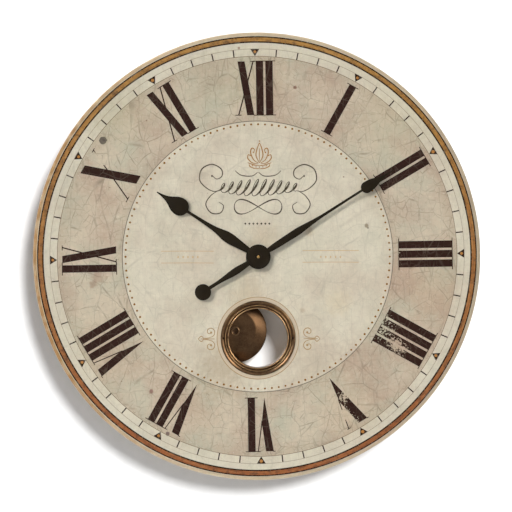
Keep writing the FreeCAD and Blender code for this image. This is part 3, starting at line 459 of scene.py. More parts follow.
    # fibres of the sheet, along and across, and fine grit
    light = None
    along, across = paper["fibreAlong"], paper["fibreAcross"]
    for sizeX, sizeZ, strength in ((along, across, 0.13), (across, along, 0.18), (1.6, 1.6, 0.14),
                                   (4.0, 4.0, 0.16)):
        squeezed = put(tree, "VectorMath", [flat, (1 / sizeX, 0, 1 / sizeZ)], "MULTIPLY")
        fibre = put(tree, "TexNoise", {"Vector": squeezed, "Scale": 0.5, "Detail": 3})
        change = put(tree, "Math", [fibre, strength, -strength / 2], "MULTIPLY_ADD")
        light = change if light is None else put(tree, "Math", [light, change], "ADD")
    bright = put(tree, "Math", [light, 1.0], "ADD")
    colour = put(tree, "VectorMath", {0: colour, "Scale": bright}, "SCALE")
    height = put(tree, "Math", [light, seen], "SUBTRACT")
    put(tree, "NodeGroupOutput", {"Colour": colour, "Crack": crack, "Height": height, "Radius": radius})
    return tree


agedPaper = agedPaperGroup()


def paperMaterial():
    material, tree, shader, where = newMaterial("lacqueredAgedPaper", {"Roughness": 0.62, "IOR": 1.46})
    sheet = put(tree, "Group", {"Position": where}, node_tree=agedPaper)
    bump = put(tree, "Bump", {"Strength": 0.25, "Distance": 0.0004, "Height": sheet.outputs["Height"]})
    feed(tree, shader, {"Base Color": sheet.outputs["Colour"], "Normal": bump})
    return material


# x, z, radius in mm and strength of the places where the numerals are rubbed away most
wornPlaces = [
    (188, 6, 9, 0.12), (166, -98, 26, 0.2), (196, -122, 24, 0.2), (180, -118, 17, 0.2),
    (211, -98, 12, 0.12), (113, -207, 15, 0.5), (112, -186, 17, 0.3), (-126, -104, 12, 0.13),
    (-205, -96, 8, 0.12),
    (127, -214, 16, 0.26), (98, 166, 9, 0.14), (-138, -128, 13, 0.14), (-120, -170, 12, 0.12),
    (-168, 172, 10, 0.1), (-14, -190, 12, 0.12), (6, -248, 10, 0.12), (-196, 98, 12, 0.12),
    (-226, 8, 9, 0.12), (-204, 128, 19, 0.5), (64, -214, 12, 0.2), (-6, 190, 9, 0.1), (232, 10, 8, 0.08),
]


# printing ink: laid thinly on the paper, so the sheet's cracks and rubs show through it
def inkMaterial(name, tone, grain, wear, crackShow=0.35, wornRange=None):
    material, tree, shader, where = newMaterial(name, {
        "Roughness": 0.55, "IOR": 1.38, "Specular IOR Level": 0.25})  # dull, so the black stays deep
    sheet = put(tree, "Group", {"Position": where}, node_tree=agedPaper)
    flat = put(tree, "VectorMath", [where, (1000, 0, 1000)], "MULTIPLY")
    cloud = put(tree, "TexNoise", {"Vector": flat, "Scale": 0.5, "Detail": 4})
    ink = put(tree, "Mix", {0: cloud, 6: tone, 7: grain}, data_type="RGBA")
    rub = put(tree, "TexNoise", {"Vector": flat, "Scale": 0.34, "Detail": 7, "Roughness": 0.7})
    large = put(tree, "TexNoise", {"Vector": flat, "Scale": 0.02, "Detail": 2})
    limit = put(tree, "Math", [large, 0.45, wear - 0.225], "MULTIPLY_ADD")
    if wornRange:
        for start, end in ((wornRange[0], wornRange[0] - 14), (wornRange[1], wornRange[1] + 10)):
            ends = put(tree, "MapRange", [sheet.outputs["Radius"], start, end, 0, 0.08])
            limit = put(tree, "Math", [limit, ends], "ADD")
        for x, z, size, strength in wornPlaces:
            gap = put(tree, "VectorMath", [flat, (x, 0, z)], "DISTANCE")
            spot = put(tree, "MapRange", [gap.outputs["Value"], size, 0, 0, strength])
            limit = put(tree, "Math", [limit, spot], "ADD")
    gone = put(tree, "Math", [limit, rub], "SUBTRACT")
    gone = put(tree, "MapRange", [gone, 0, 0.03])
    lines = put(tree, "Math", [sheet.outputs["Crack"], crackShow], "MULTIPLY")
    gone = put(tree, "Math", [gone, lines], "MAXIMUM")
    colour = put(tree, "Mix", {0: gone, 6: ink, 7: sheet.outputs["Colour"]}, data_type="RGBA")
    bump = put(tree, "Bump", {"Strength": 0.15, "Distance": 0.0003, "Height": cloud})
    feed(tree, shader, {"Base Color": colour, "Normal": bump})
    return material


printedFace = paperMaterial()
numeralInk = inkMaterial("numeralPrintingInk", "#240F0B", "#382017", 0.27, 0.18, (196, 247))
lineInk = inkMaterial("ringLineInk", "#1C120B", "#3C2616", 0.27, 0.3)
trackInk = inkMaterial("trackLineInk", "#6E5F4E", "#8C7B64", 0.28)
faintInk = inkMaterial("faintLineInk", "#8F8168", "#A8987C", 0.34)
discInk = inkMaterial("discLineInk", "#57504A", "#7A7266", 0.22)
penInk = inkMaterial("flourishInk", "#3E352A", "#5A5040", 0.24)
brownInk = inkMaterial("ornamentInk", "#96642F", "#AE8450", 0.27)
paleInk = inkMaterial("ruleLineInk", "#C6A67C", "#D0B68E", 0.26)
scrollInk = inkMaterial("scrollInk", "#B39A74", "#A07C54", 0.27)
dotInk = inkMaterial("dotInk", "#8E6420", "#7C5216", 0.12, 0.1)
tintInk = inkMaterial("windowTintInk", "#CBBBA2", "#D2C5AD", 0.3)
copperInk = inkMaterial("copperInk", "#C48E50", "#A8682E", 0.1, 0.1)
print("paper and inks ready")


# amber band: bronze paint brushed round the dial; its colour is graded by height, lighter and more golden
# towards the top, darker and redder towards the bottom
def amberMaterial():
    material, tree, shader, where = newMaterial("brushedBronzePaint", {"Roughness": 0.5, "IOR": 1.5})
    flat = put(tree, "VectorMath", [where, (1000, 0, 1000)], "MULTIPLY")
    length = put(tree, "VectorMath", [flat], "LENGTH").outputs["Value"]
    way = put(tree, "VectorMath", [flat], "NORMALIZE")
    around = put(tree, "VectorMath", {0: way, "Scale": 9.0}, "SCALE")
    out = put(tree, "Math", [length, 0.55], "MULTIPLY")
    lift = put(tree, "CombineXYZ", {"Y": out})
    polar = put(tree, "VectorMath", [around, lift], "ADD")
    streak = put(tree, "TexNoise", {"Vector": polar, "Scale": 1.0, "Detail": 5, "Roughness": 0.65})
    tall = put(tree, "SeparateXYZ", [way])
    high = put(tree, "MapRange", [tall.outputs["Z"], -0.7, 0.8])
    colour = put(tree, "Mix", {0: high, 6: "#A05A28", 7: "#B28438"}, data_type="RGBA")
    patches = put(tree, "TexNoise", {"Vector": flat, "Scale": 0.11, "Detail": 6, "Roughness": 0.75})
    for noise, start, end, strength, tone in (  # dark streaks, light streaks, worn patches
            (streak, 0.42, 0.7, 0.62, "#7A4420"), (streak, 0.5, 0.3, 0.5, "#C68F55"),
            (patches, 0.47, 0.64, 0.8, "#4E3018")):
        amount = put(tree, "MapRange", [noise, start, end, 0, strength])
        colour = put(tree, "Mix", {0: amount, 6: colour, 7: tone}, data_type="RGBA")
    bump = put(tree, "Bump", {"Strength": 0.2, "Distance": 0.0003, "Height": streak})
    feed(tree, shader, {"Base Color": colour, "Normal": bump})
    return material


amberPaint = amberMaterial()


# metals and plastics: one recipe with a grain, a tone that varies and a roughness that follows it
def grainMaterial(name, values, dark, light, grain, cloud, bump, smoothest, roughest, stretch=(1, 1, 1)):
    # grain and cloud are sizes in mm, bump is a height in mm
    material, tree, shader, where = newMaterial(name, values)
    sized = put(tree, "VectorMath", [where, tuple(1000 / s for s in stretch)], "MULTIPLY")
    fine = put(tree, "TexNoise", {"Vector": sized, "Scale": 1 / grain, "Detail": 3})
    wide = put(tree, "TexNoise", {"Vector": sized, "Scale": 1 / cloud, "Detail": 5, "Roughness": 0.6})
    both = put(tree, "Mix", {0: 0.65, 2: fine, 3: wide}, data_type="FLOAT")
    amount = put(tree, "MapRange", [both, 0.34, 0.66])
    colour = put(tree, "Mix", {0: amount, 6: dark, 7: light}, data_type="RGBA")
    rough = put(tree, "MapRange", [wide, 0, 1, smoothest, roughest])
    relief = put(tree, "Bump", {"Strength": 0.5, "Distance": bump * mm, "Height": fine})
    feed(tree, shader, {"Base Color": colour, "Roughness": rough, "Normal": relief})
    return material


metal = {"Metallic": 1.0}
# aged brass: spun, brushed, darkened by handling and lacquered, so brown with warm soft highlights
agedBrass = grainMaterial("agedLacqueredBrass", metal, "#4C3A2B", "#7B6248", 0.8, 9, 0.02, 0.24, 0.38)
# the rim's two lips: a lighter brass on their crests, a painted highlight
lipHighlightBrass = grainMaterial("lipHighlightBrass", metal, "#A98660", "#D2AE84", 0.8, 7, 0.02, 0.22, 0.36)
# the rim's pins: nearly black brass, painted shade standing in for the dark recess round each pin
pinShadeBrass = grainMaterial("pinBrassPaintedShade", metal, "#1E150E", "#3C2A1C", 0.5, 2, 0.02, 0.35, 0.5)
bobBrass = grainMaterial("darkenedBobBrass", metal, "#3D2E21", "#5F4A36", 1.2, 16, 0.02, 0.34, 0.46)
# bright brass: turned and clean
turnedBrass = grainMaterial("turnedBrass", metal, "#C79A54", "#E6C384", 0.3, 3, 0.01, 0.2, 0.32, (3, 0.4, 3))
# yellow passivated zinc on screws, blue-grey galvanised sheet with soft spangles
zincScrew = grainMaterial("yellowPassivatedZinc", metal, "#A3916A", "#D6C48E", 0.5, 3, 0.02, 0.28, 0.45)
zincSheet = grainMaterial("galvanisedSteelSheet", metal, "#8E9296", "#C3C7CA", 0.6, 5, 0.01, 0.3, 0.5)
nickelSteel = grainMaterial("nickelPlatedSteel", metal, "#9C9A94", "#CBC8C0", 0.4, 4, 0.01, 0.2, 0.34)
# moulded ABS with a fine spark-eroded texture, about 0.4 mm grit
casePlastic = grainMaterial("sparkTexturedAbs", {"IOR": 1.53}, "#151517", "#222224", 0.45, 14, 0.05, 0.42,
                            0.55)
innerPlastic = grainMaterial("mouldedAcetal", {"IOR": 1.48}, "#D2CEBF", "#E6E3D8", 0.5, 6, 0.01, 0.35, 0.45)
gasketRubber = grainMaterial("mouldedNitrileRubber", {"IOR": 1.52}, "#131313", "#1E1E1D", 0.6, 5, 0.04,
                             0.75, 0.88)
boardGreen = grainMaterial("solderMaskOnGlassEpoxy", {"IOR": 1.55}, "#0F4A28", "#1A6A3A", 0.5, 3, 0.01, 0.3,
                           0.45)
chipResin = grainMaterial("castEpoxyResin", {"IOR": 1.55}, "#0C0C0D", "#1A1A1B", 0.5, 3, 0.03, 0.25, 0.4)
copperWire = grainMaterial("enamelledCopperWinding", metal, "#8A4522", "#C27442", 0.15, 2, 0.05, 0.25, 0.4,
                           (0.2, 1, 1))
magnetSteel = grainMaterial("sinteredFerrite", {"Metallic": 0.6}, "#2A2A2C", "#3E3E40", 0.3, 2, 0.02, 0.5,
                            0.65)
# matt black lacquer sprayed on steel blanks: nearly black, warm, with a faint orange peel
handLacquer = grainMaterial("mattBlackLacquer", {"IOR": 1.36, "Specular IOR Level": 0.3}, "#1A1204",
                            "#211806", 0.7, 12, 0.02, 0.46, 0.58)
# painted fibreboard ring: rolled black emulsion, stippled at about 1 mm
ringPaint = grainMaterial("rolledBlackPaint", {"IOR": 1.5}, "#1B1916", "#2E2A25", 1.1, 30, 0.12, 0.6, 0.75)
# raw fibreboard: pressed wood fibre, mid brown with darker flecks
rawBoard = grainMaterial("pressedFibreboard", {"IOR": 1.45}, "#86735C", "#A59074", 0.9, 70, 0.06, 0.8, 0.92)


def batteryMaterial():
    # shrink sleeve on a steel can: black body, copper band at the plus end, bare steel ends
    material, tree, shader, where = newMaterial("printedShrinkSleeve", {"Roughness": 0.3, "IOR": 1.5})
    parts = put(tree, "SeparateXYZ", [where])
    along = put(tree, "MapRange", [parts.outputs["X"], -0.0247, 0.0259])
    bands = put(tree, "ValToRGB", [along])
    bands.color_ramp.interpolation = "CONSTANT"
    fillRamp(bands, [(0, "#9A9894"), (0.012, "#1A1B1F"), (0.62, "#C9C4B4"), (0.635, "#A8672F"),
                     (0.955, "#B9B6AE")])
    smear = put(tree, "TexNoise", {"Vector": where, "Scale": 300, "Detail": 3})
    rough = put(tree, "MapRange", [smear, 0, 1, 0.22, 0.4])
    bare = put(tree, "ValToRGB", [along])
    bare.color_ramp.interpolation = "CONSTANT"
    fillRamp(bare, [(0, 1.0), (0.012, 0.0), (0.635, 0.55), (0.955, 1.0)])
    feed(tree, shader, {"Base Color": bands, "Metallic": bare, "Roughness": rough})
    return material


nodeFinishes = {
    ringPaint: "back_ring", zincSheet: "hanger_plate", boardGreen: "circuit_board",
    casePlastic: "movement_case movement_cover setting_knob", chipResin: "controller_chip",
    innerPlastic: "train_plate centre_wheel hour_wheel motion_wheel third_wheel seconds_wheel "
                  "intermediate_wheel pendulum_yoke",
    turnedBrass: "threaded_bushing dial_washer hex_nut minute_arbor hour_collet pendulum_rod",
    nickelSteel: "quartz_crystal motor_stator battery_contact_plus battery_contact_minus yoke_pin",
    copperWire: "motor_coil pendulum_coil", magnetSteel: "rotor yoke_magnet", handLacquer: "hand_nut",
    gasketRubber: "rubber_gasket", batteryMaterial(): "battery",
}
for material, names in nodeFinishes.items():
    for name in names.split():
        nodes[name].data.materials.clear()
        nodes[name].data.materials.append(material)
print("finishes on the carried-over nodes ready")

# dial face and panel
faceLow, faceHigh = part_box("dial_face")
windowLow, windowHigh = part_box("window_rim")
windowZ = (windowLow.z + windowHigh.z) / 2 / mm
dial = {
    "front": -faceLow.y / mm, "rear": -faceHigh.y / mm, "radius": faceHigh.x / mm, "bushRadius": 5,
    "holeRadius": 40.6, "panelRadius": 292.1, "panelRear": 26, "edgeRound": 5, "segments": 288,
    "paperFrom": 285,  # the panel's edge has the paper's finish outside this radius
}
inkTop = dial["front"] + 0.13  # the print stands this far off the paper
inkFoot = dial["front"] - 0.05
bush, front, rear, reach = dial["bushRadius"], dial["front"], dial["rear"], dial["radius"]
profile = [(bush, rear), (reach, rear), (reach, front - 0.15), (reach - 0.15, front), (bush, front)]
dialFace = meshPiece("dialFace", turnedMesh(profile, segments=dial["segments"]), [printedFace])
rideOn(cutRound(dialFace, (0, windowZ), dial["holeRadius"]), "root", "printed_face", "dial_face")

edge, front, rear, reach = dial["edgeRound"], dial["rear"], dial["panelRear"], dial["panelRadius"]
profile = [(bush, rear), (reach - 1, rear), (reach, rear + 1)]
for step in range(9):
    angle = radians(90 * step / 8)
    profile.append((reach - edge + edge * cos(angle), front - edge + edge * sin(angle)))
profile.append((bush, front))
dialPanel = meshPiece("dialPanel", turnedMesh(profile, segments=dial["segments"]), [printedFace, rawBoard])
cutRound(dialPanel, (0, windowZ), dial["holeRadius"])
for face in dialPanel.data.polygons:
    outer = hypot(face.center.x, face.center.z) > dial["paperFrom"] * mm
    face.material_index = 0 if outer and face.normal.y < 0.3 else 1
rideOn(dialPanel, "root", "panel_board", "dial_panel")


def printed(name, shape, ink):
    return rideOn(meshPiece(name, shape, [ink]), "root", "printed_face")


def repeatPrinted(name, outline, lift, tree, **values):
    row = repeat(name, prismMesh(outline, inkTop + lift, inkFoot), tree, **values)
    return rideOn(row, "root", "printed_face")


# printed rings: inner and outer radius, ink, and how far above the other print, in mm
rings = {
    "amberBand": (279.6, 285.2, amberPaint, 0), "innerBlackLine": (278.05, 279.95, lineInk, 0.03),
    "outerBlackLine": (284.85, 286.55, lineInk, 0.03), "trackInnerLine": (260.1, 260.8, trackInk, 0),
    "trackOuterLine": (269.8, 270.35, faintInk, 0), "discLine": (175.95, 176.85, discInk, 0),
    "windowPrintRing": (53.0, 53.9, scrollInk, 0), "windowTint": (48, 53.1, tintInk, -0.04),
}
for name, (inner, outer, ink, lift) in rings.items():
    top = inkTop + lift
    middle, segments = ((0, windowZ), 128) if "window" in name else ((0, 0), dial["segments"])
    profile = [(inner, inkFoot), (outer, inkFoot), (outer, top), (inner, top)]
    printed(name, turnedMesh(profile, middle, segments), ink)

# minute track, dots and triangles
marks = {
    "turn": -0.9,  # degrees: the printed chapter ring sits slightly anticlockwise
    "tickWidth": 1.6, "tickInner": 260.7, "tickOuter": 270.0,
    "triangleHalf": 6.0, "triangleHeight": 9.5, "triangleMiddle": 265.4, "heartRadius": 1.9, "heartUp": 1.1,
    "dotRadius": 1.35, "dotCircle": 172.2, "dotCount": 120, "dotSpread": 0.08,
}
turn, middle = radians(marks["turn"]), marks["triangleMiddle"] * mm
tall = (marks["tickOuter"] - marks["tickInner"]) / 2
repeatPrinted("minuteTicks", rectangle(marks["tickWidth"] / 2, tall), 0, ringRepeat, Count=60, Turn=turn,
              Radius=(marks["tickInner"] + tall) * mm, Skip=5, Seed=3, Material=lineInk)
high, wide = marks["triangleHeight"], marks["triangleHalf"]
repeatPrinted("hourTriangles", [(-wide, high / 2), (wide, high / 2), (0, -high / 2)], 0, ringRepeat,
              Count=12, Radius=middle, Turn=turn, Seed=5, Material=lineInk)
repeatPrinted("triangleHearts", roundOutline(marks["heartRadius"], 14, 0, marks["heartUp"]), 0.05,
              ringRepeat, Count=12, Radius=middle, Turn=turn, Spread=0.12, Seed=8, Material=copperInk)
repeatPrinted("discDots", roundOutline(marks["dotRadius"], 12), 0, ringRepeat, Count=marks["dotCount"],
              Radius=marks["dotCircle"] * mm, Spread=marks["dotSpread"], Seed=11, Material=dotInk)
print("rings and marks printed")

# numerals: heavy stems, fine hairlines, tops outward
numeral = {
    "inner": 184.2, "outer": 254.0, "stem": 9.5, "gap": 2.9, "letter": 20.8, "letterStem": 9.2,
    "hairline": 1.2, "serif": 1.0, "serifReach": 3.6, "kinkRadius": 217,
    "alone": {"X": (35, 11.7), "V": (28.6, 11.7)},  # width and stem of a letter that stands alone
}


def dialPoint(side, radius, angle):
    return (radius * sin(angle) + side * cos(angle),
            radius * cos(angle) - side * sin(angle))


def numeralShapes(text):
    # outlines as (side, radius) points, and how wide the numeral is
    inner, outer = numeral["inner"], numeral["outer"]
    hair, serif, reach = numeral["hairline"], numeral["serif"], numeral["serifReach"]
    shapes, at, stemStart, stemEnd = [], 0.0, None, None

    def bar(left, right, low, tall):
        shapes.append([(left, low), (right, low), (right, low + tall), (left, low + tall)])

    for letter in text:
        if letter == "I":
            bar(at, at + numeral["stem"], inner, outer - inner)
            stemStart = at if stemStart is None else stemStart
            stemEnd = at + numeral["stem"]
            at += numeral["stem"] + numeral["gap"]
            continue
        wide, thick = numeral["letter"], numeral["letterStem"]
        if len(text) == 1:
            wide, thick = numeral["alone"][letter]
        if letter == "X":
            shapes.append([(at, outer), (at + thick, outer), (at + wide, inner),
                           (at + wide - thick, inner)])
            low, highEnd = (at - 0.3, inner), (at + wide + 0.3, outer)
            shapes.append([low, (low[0] + hair * 1.4, inner), (highEnd[0], outer),
                           (highEnd[0] - hair * 1.4, outer)])
            bar(low[0] - reach, low[0] + reach + 1, inner - 0.4, serif)
            bar(highEnd[0] - reach - 1, highEnd[0] + reach * 0.5, outer - 0.6, serif)
        else:
            kink = (at + wide * 0.68 + 1.0, numeral["kinkRadius"])
            point = (at + wide * 0.55, inner - 0.5)
            shapes.append([(at, outer), (at + thick * 1.1, outer), kink, point])
            shapes.append([(kink[0] - hair, kink[1] - 3), (kink[0] + hair * 0.2, kink[1] - 3),
                           (at + wide, outer), (at + wide - hair, outer)])
            bar(at + wide - reach, at + wide + reach * 0.4, outer - 0.4, serif)
            bar(at - 2.2, at + 1, outer - 0.4, serif)
        at += wide + numeral["gap"]
    if stemStart is not None:
        bar(stemStart - reach, stemEnd + reach, outer - 0.3, serif)
        bar(stemStart - reach, stemEnd + reach, inner - 0.7, serif)
    return shapes, at - numeral["gap"]


hourNames = ["XII", "I", "II", "III", "IIII", "V", "VI", "VII", "VIII", "IX", "X", "XI"]
for hour, text in enumerate(hourNames):
    shapes, wide = numeralShapes(text)
    angle = radians(30 * hour + marks["turn"])
    parts = []
    for number, shape in enumerate(shapes):
        outline = [dialPoint(side - wide / 2, radius, angle) for side, radius in shape]
        parts.append(prismMesh(outline, inkTop + 0.012 * number, inkFoot))
    printed("numeral" + text.title(), addTogether(parts), numeralInk)
print("numerals printed")

# ornament of the inner disc: rules, dot rows, scrolls, a leaf fleuron and a looped flourish

def swell(thin, thick, power=1.0, beats=1.0):
    return lambda t: thin + (thick - thin) * abs(sin(pi * beats * t)) ** power


def printStrokes(name, strokes, ink, extra=()):
    parts = []
    for number, (points, width) in enumerate(strokes):
        line = smoothLine([Vector(p) for p in points])
        parts.append(strokeMesh(line, width, inkTop + 0.01 * number, inkFoot, 0.05))
    for x, z, radius in extra:
        parts.append(prismMesh(roundOutline(radius, 16, x, z), inkTop + 0.07, inkFoot))
    return printed(name, addTogether(parts), ink)


rules = {"left": (-126, -57.7, 7.2, -8.2), "right": (58, 131.7, 7.8, -7.3), "width": 0.85}
strokes = []
for start, end, above, below in (rules["left"], rules["right"]):
    for level in (above, below):
        strokes.append(([(start, level), ((start + end) / 2, level + 0.2), (end, level)],
                        swell(rules["width"], rules["width"])))
printStrokes("ruleLines", strokes, paleInk)

rowMarks = {"size": 1.9, "leftStart": -104, "rightStart": 82, "step": 6.4, "count": 5, "level": -0.4}
size = rowMarks["size"]
diamond = [(0, size), (size * 0.62, 0), (0, -size), (-size * 0.62, 0)]
level, step = rowMarks["level"] * mm, rowMarks["step"] * mm
for side in ("left", "right"):
    repeatPrinted(side + "Diamonds", diamond, 0, rowRepeat, Count=rowMarks["count"], Material=paleInk,
                  Start=(rowMarks[side + "Start"] * mm, 0, level), Step=(step, 0, 0))
repeatPrinted("centreDiamonds", [(x * 1.25, z * 0.85) for x, z in diamond], 0, rowRepeat, Count=7,
              Start=(-16.5 * mm, 0, 43 * mm), Step=(5.2 * mm, 0, 0), Material=penInk)


def spiral(x, z, radius, start, turns, side, steps=14):
    # winds inwards from `radius`
    out = []
    for k in range(steps + 1):
        t = k / steps
        angle = start + side * turns * 2 * pi * t
        reach = radius * (1 - 0.78 * t)
        out.append((x + reach * cos(angle), z + reach * sin(angle)))
    return out


strokes, balls = [], []
for side, middle in ((-1, -62.5), (1, 65.5)):
    for way in (1, -1):
        level = -107 + way * 9.2
        turn = spiral(middle, level, 7.2, radians(-90 * way), 1.15, way * -side)
        tail = [(middle + side * 9.5, -107 + way * 1.2), (middle + side * 4.5, -107 + way * 1.0)]
        strokes.append((tail + turn, swell(0.7, 1.2, 1.5)))
        balls.append((turn[-1][0], turn[-1][1], 1.5))
    tip = middle + side * 12.5
    strokes.append(([(middle - side * 6, -107), (middle + side * 4, -107), (tip, -107)], swell(0.7, 1.2)))
    for rise in (3.4, -3.4):
        leaf = [(tip - side * 4.5, -107), (tip - side * 1.2, -107 + rise), (tip + side * 3, -107)]
        strokes.append((leaf, swell(0.6, 1.1)))
    balls.append((tip - side * 7, -107, 1.1))
printStrokes("windowScrolls", strokes, scrollInk, balls)

fleuron = {"x": 1.8, "z": 131.0}


def fleuronPoints(points, side=1):
    return [(fleuron["x"] + side * x, fleuron["z"] + z) for x, z in points]


strokes = [(fleuronPoints([(0, -9), (side * 4.4, 0), (side * 3.2, 9), (0, 17.5)]), swell(0.7, 1.5))
           for side in (-1, 1)]
strokes.append((fleuronPoints([(0, -7), (0, 2), (0, 10)]), swell(0.5, 0.9)))
for side in (1, -1):
    strokes += [
        (fleuronPoints([(1.5, -9), (7.5, -5), (11.5, 4), (10, 10), (6.6, 8.4), (7.6, 4.2)], side),
         swell(0.7, 1.5)),
        (fleuronPoints([(1.5, -9.5), (9, -9), (15, -3.5), (14.6, 1.5), (11.8, 0.6)], side), swell(0.6, 1.4)),
        (fleuronPoints([(0, -12.5), (7, -11.6), (15.5, -8.6)], side), swell(0.7, 1.3)),
        (fleuronPoints([(0, -16.5), (7, -16), (12.5, -13.4), (13.4, -10.5)], side), swell(0.7, 1.3)),
    ]
balls = [(fleuron["x"] + x, fleuron["z"] + z, r) for x, z, r in (
    (0, 19.4, 0.9), (-7.8, 4.6, 1.0), (7.8, 4.6, 1.0), (-12, 0.8, 0.9), (12, 0.8, 0.9),
    (-4.5, -14.2, 0.8), (4.5, -14.2, 0.8), (0, -14.4, 0.9), (-9, -12.6, 0.8), (9, -12.6, 0.8))]
printStrokes("leafFleuron", strokes, brownInk, balls)

flourish = {"x": 0, "z": 90, "loops": 10, "pitch": 10.4, "loopWidth": 3.8, "loopHeight": 11, "slant": 0.5}
loopLine = []
steps = 14
total = flourish["loops"] * steps
for k in range(total + 1):
    t = k / total
    phase = 2 * pi * k / steps
    tall = flourish["loopHeight"] * (0.42 + 0.58 * sin(pi * t))
    z = -cos(phase) * tall
    x = (t - 0.5) * flourish["loops"] * flourish["pitch"] + flourish["loopWidth"] * sin(phase)
    loopLine.append((flourish["x"] + x + flourish["slant"] * z, flourish["z"] + z))


def penWidth(t):
    phase = 2 * pi * t * flourish["loops"]
    return 0.9 + 1.9 * max(0.0, sin(phase)) ** 2


curls = [  # points to the right of the middle, and the pen's width
    ([(50, 86), (58, 85), (68, 90), (76, 100), (73, 114), (60, 120), (48, 114), (47, 105), (54, 101),
      (60, 106)], swell(0.8, 1.6)),
    ([(52, 86), (62, 79), (68, 68), (61, 57), (49, 57), (45, 66), (51, 71)], swell(0.8, 1.5)),
    ([(30, 112), (22, 106), (8, 105), (0.5, 110)], swell(0.7, 1.3)),
]
strokes = [(loopLine, penWidth)]
for side in (1, -1):
    strokes += [([(side * x, z) for x, z in points], width) for points, width in curls]
eight = [(31 * sin(a), 65 + 9.5 * sin(2 * a)) for a in (2 * pi * k / 36 for k in range(36))]
strokes.append((eight + eight[:1], lambda t: 0.9 + 0.9 * sin(4 * pi * t + 0.6) ** 2))
printStrokes("loopFlourish", strokes, penInk, [(side * 60, 105, 1.3) for side in (1, -1)])
print("ornament printed")

# window rim and its pins
rim = {
    "profile": [(38.4, 27), (40.5, 27), (40.5, 43.7), (48.8, 43.7), (48.8, 44.8), (47.8, 46.2),
                (46.6, 46.4), (44.9, 45.7), (43.8, 45.1), (43.3, 47.2), (42.7, 48.2), (42.1, 47.6),
                (41.5, 45.0), (40.4, 44.6), (39.9, 46.6), (39.3, 47.0), (38.7, 46.6), (38.4, 45.6)],
    "pinOffset": 45.1, "pinRadius": 1.5,
}
shape = turnedMesh(softProfile(rim["profile"], 0.35, 3), (0, windowZ), 160)
windowRim = meshPiece("windowRim", shape, [agedBrass, lipHighlightBrass], 50)
# faces on the crests of the two lips take the lighter brass, a painted highlight
for face in windowRim.data.polygons:
    depth = -face.center.y / mm
    radius = hypot(face.center.x, face.center.z - windowZ * mm) / mm
    face.material_index = 1 if depth > 47.2 or (radius < 40 and depth > 46.2) else 0
rideOn(windowRim, "root", "aged_brass", "window_rim")
pinRound = rim["pinRadius"]
pinProfile = [(0, 40), (0.9, 40), (0.9, 46.0), (pinRound, 46.1)]
pinProfile += [(pinRound * cos(radians(a)), 46.3 + 0.75 * sin(radians(a)))
               for a in (15, 35, 55, 75)]
pinProfile.append((0, 47.06))
pins = [turnedMesh(pinProfile, (side * rim["pinOffset"], windowZ), 24) for side in (-1, 1)]
rideOn(meshPiece("rimPins", addTogether(pins), [pinShadeBrass]), "root", "aged_brass", "rim_pins")

# pendulum bob and boss
bobLow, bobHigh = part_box("pendulum_bob")
bobCentre = ((bobLow.x + bobHigh.x) / 2 / mm, (bobLow.z + bobHigh.z) / 2 / mm)
bob = [(3, 20), (26.5, 20), (41.0, 16.1), (41.9, 16.0), (41.9, 17.0), (27.5, 21.0), (3, 21.0)]
shape = turnedMesh(softProfile(bob, 1.6, 4), bobCentre, 128)
rideOn(meshPiece("pendulumBob", shape, [bobBrass], 50), "pendulum", "aged_brass", "pendulum_bob")
boss = [(0, 11.05), (4, 11.05), (4, 20), (3.1, 20), (3.1, 21), (6.2, 21), (6.2, 21.9), (5.4, 22.3),
        (4.2, 22.3), (3.0, 21.6), (2.8, 15.5), (0, 15.5)]
shape = turnedMesh(softProfile(boss, 0.3, 3), bobCentre, 48)
rideOn(meshPiece("bobBoss", shape, [agedBrass], 50), "pendulum", "aged_brass", "bob_boss")
print("window and pendulum ready")

# hands: flat blanks with a softened front edge, each outline the widest of its parts
hourHand = {
    "rear": 48.0, "thickness": 0.8, "direction": 302.6, "bore": 5.2, "hub": 14, "tip": 156, "bulb": 11.7,
    "bulbAt": 120.7, "disc": None,
    "leaf": [(10, 3.2), (20, 4.4), (32, 5.8), (40, 6.8), (46, 7.0), (52, 6.5), (60, 4.8), (68, 3.4),
             (80, 2.5), (96, 2.0), (112, 1.8)],
    "tail": [],
}
minuteHand = {
    "rear": 50.2, "thickness": 0.8, "direction": 57.4, "bore": 2.3, "hub": 15.2, "tip": 210, "bulb": 7.6,
    "bulbAt": 167.6, "disc": (-85.3, 10.6),
    "leaf": [(12, 2.8), (22, 3.8), (32, 4.3), (44, 4.5), (56, 4.8), (64, 4.6), (74, 3.7), (84, 2.8),
             (94, 2.1), (104, 1.8), (124, 1.65), (162, 1.5)],
    "tail": [(-80, 2.3), (-70, 2.3), (-62, 2.35), (-52, 3.1), (-42, 4.2), (-32, 4.6), (-22, 3.9),
             (-12, 3.0)],
}


def widthAt(line, along):
    # half width at a distance, from a fine smooth line of (distance, half width)
    if not line or along < line[0].x or along > line[-1].x:
        return 0.0
    for a, b in zip(line, line[1:]):
        if a.x <= along <= b.x:
            return a.y + (b.y - a.y) * (along - a.x) / max(b.x - a.x, 1e-9)
    return 0.0


def roundAt(middle, radius, along):
    return sqrt(max(radius * radius - (along - middle) ** 2, 0.0))


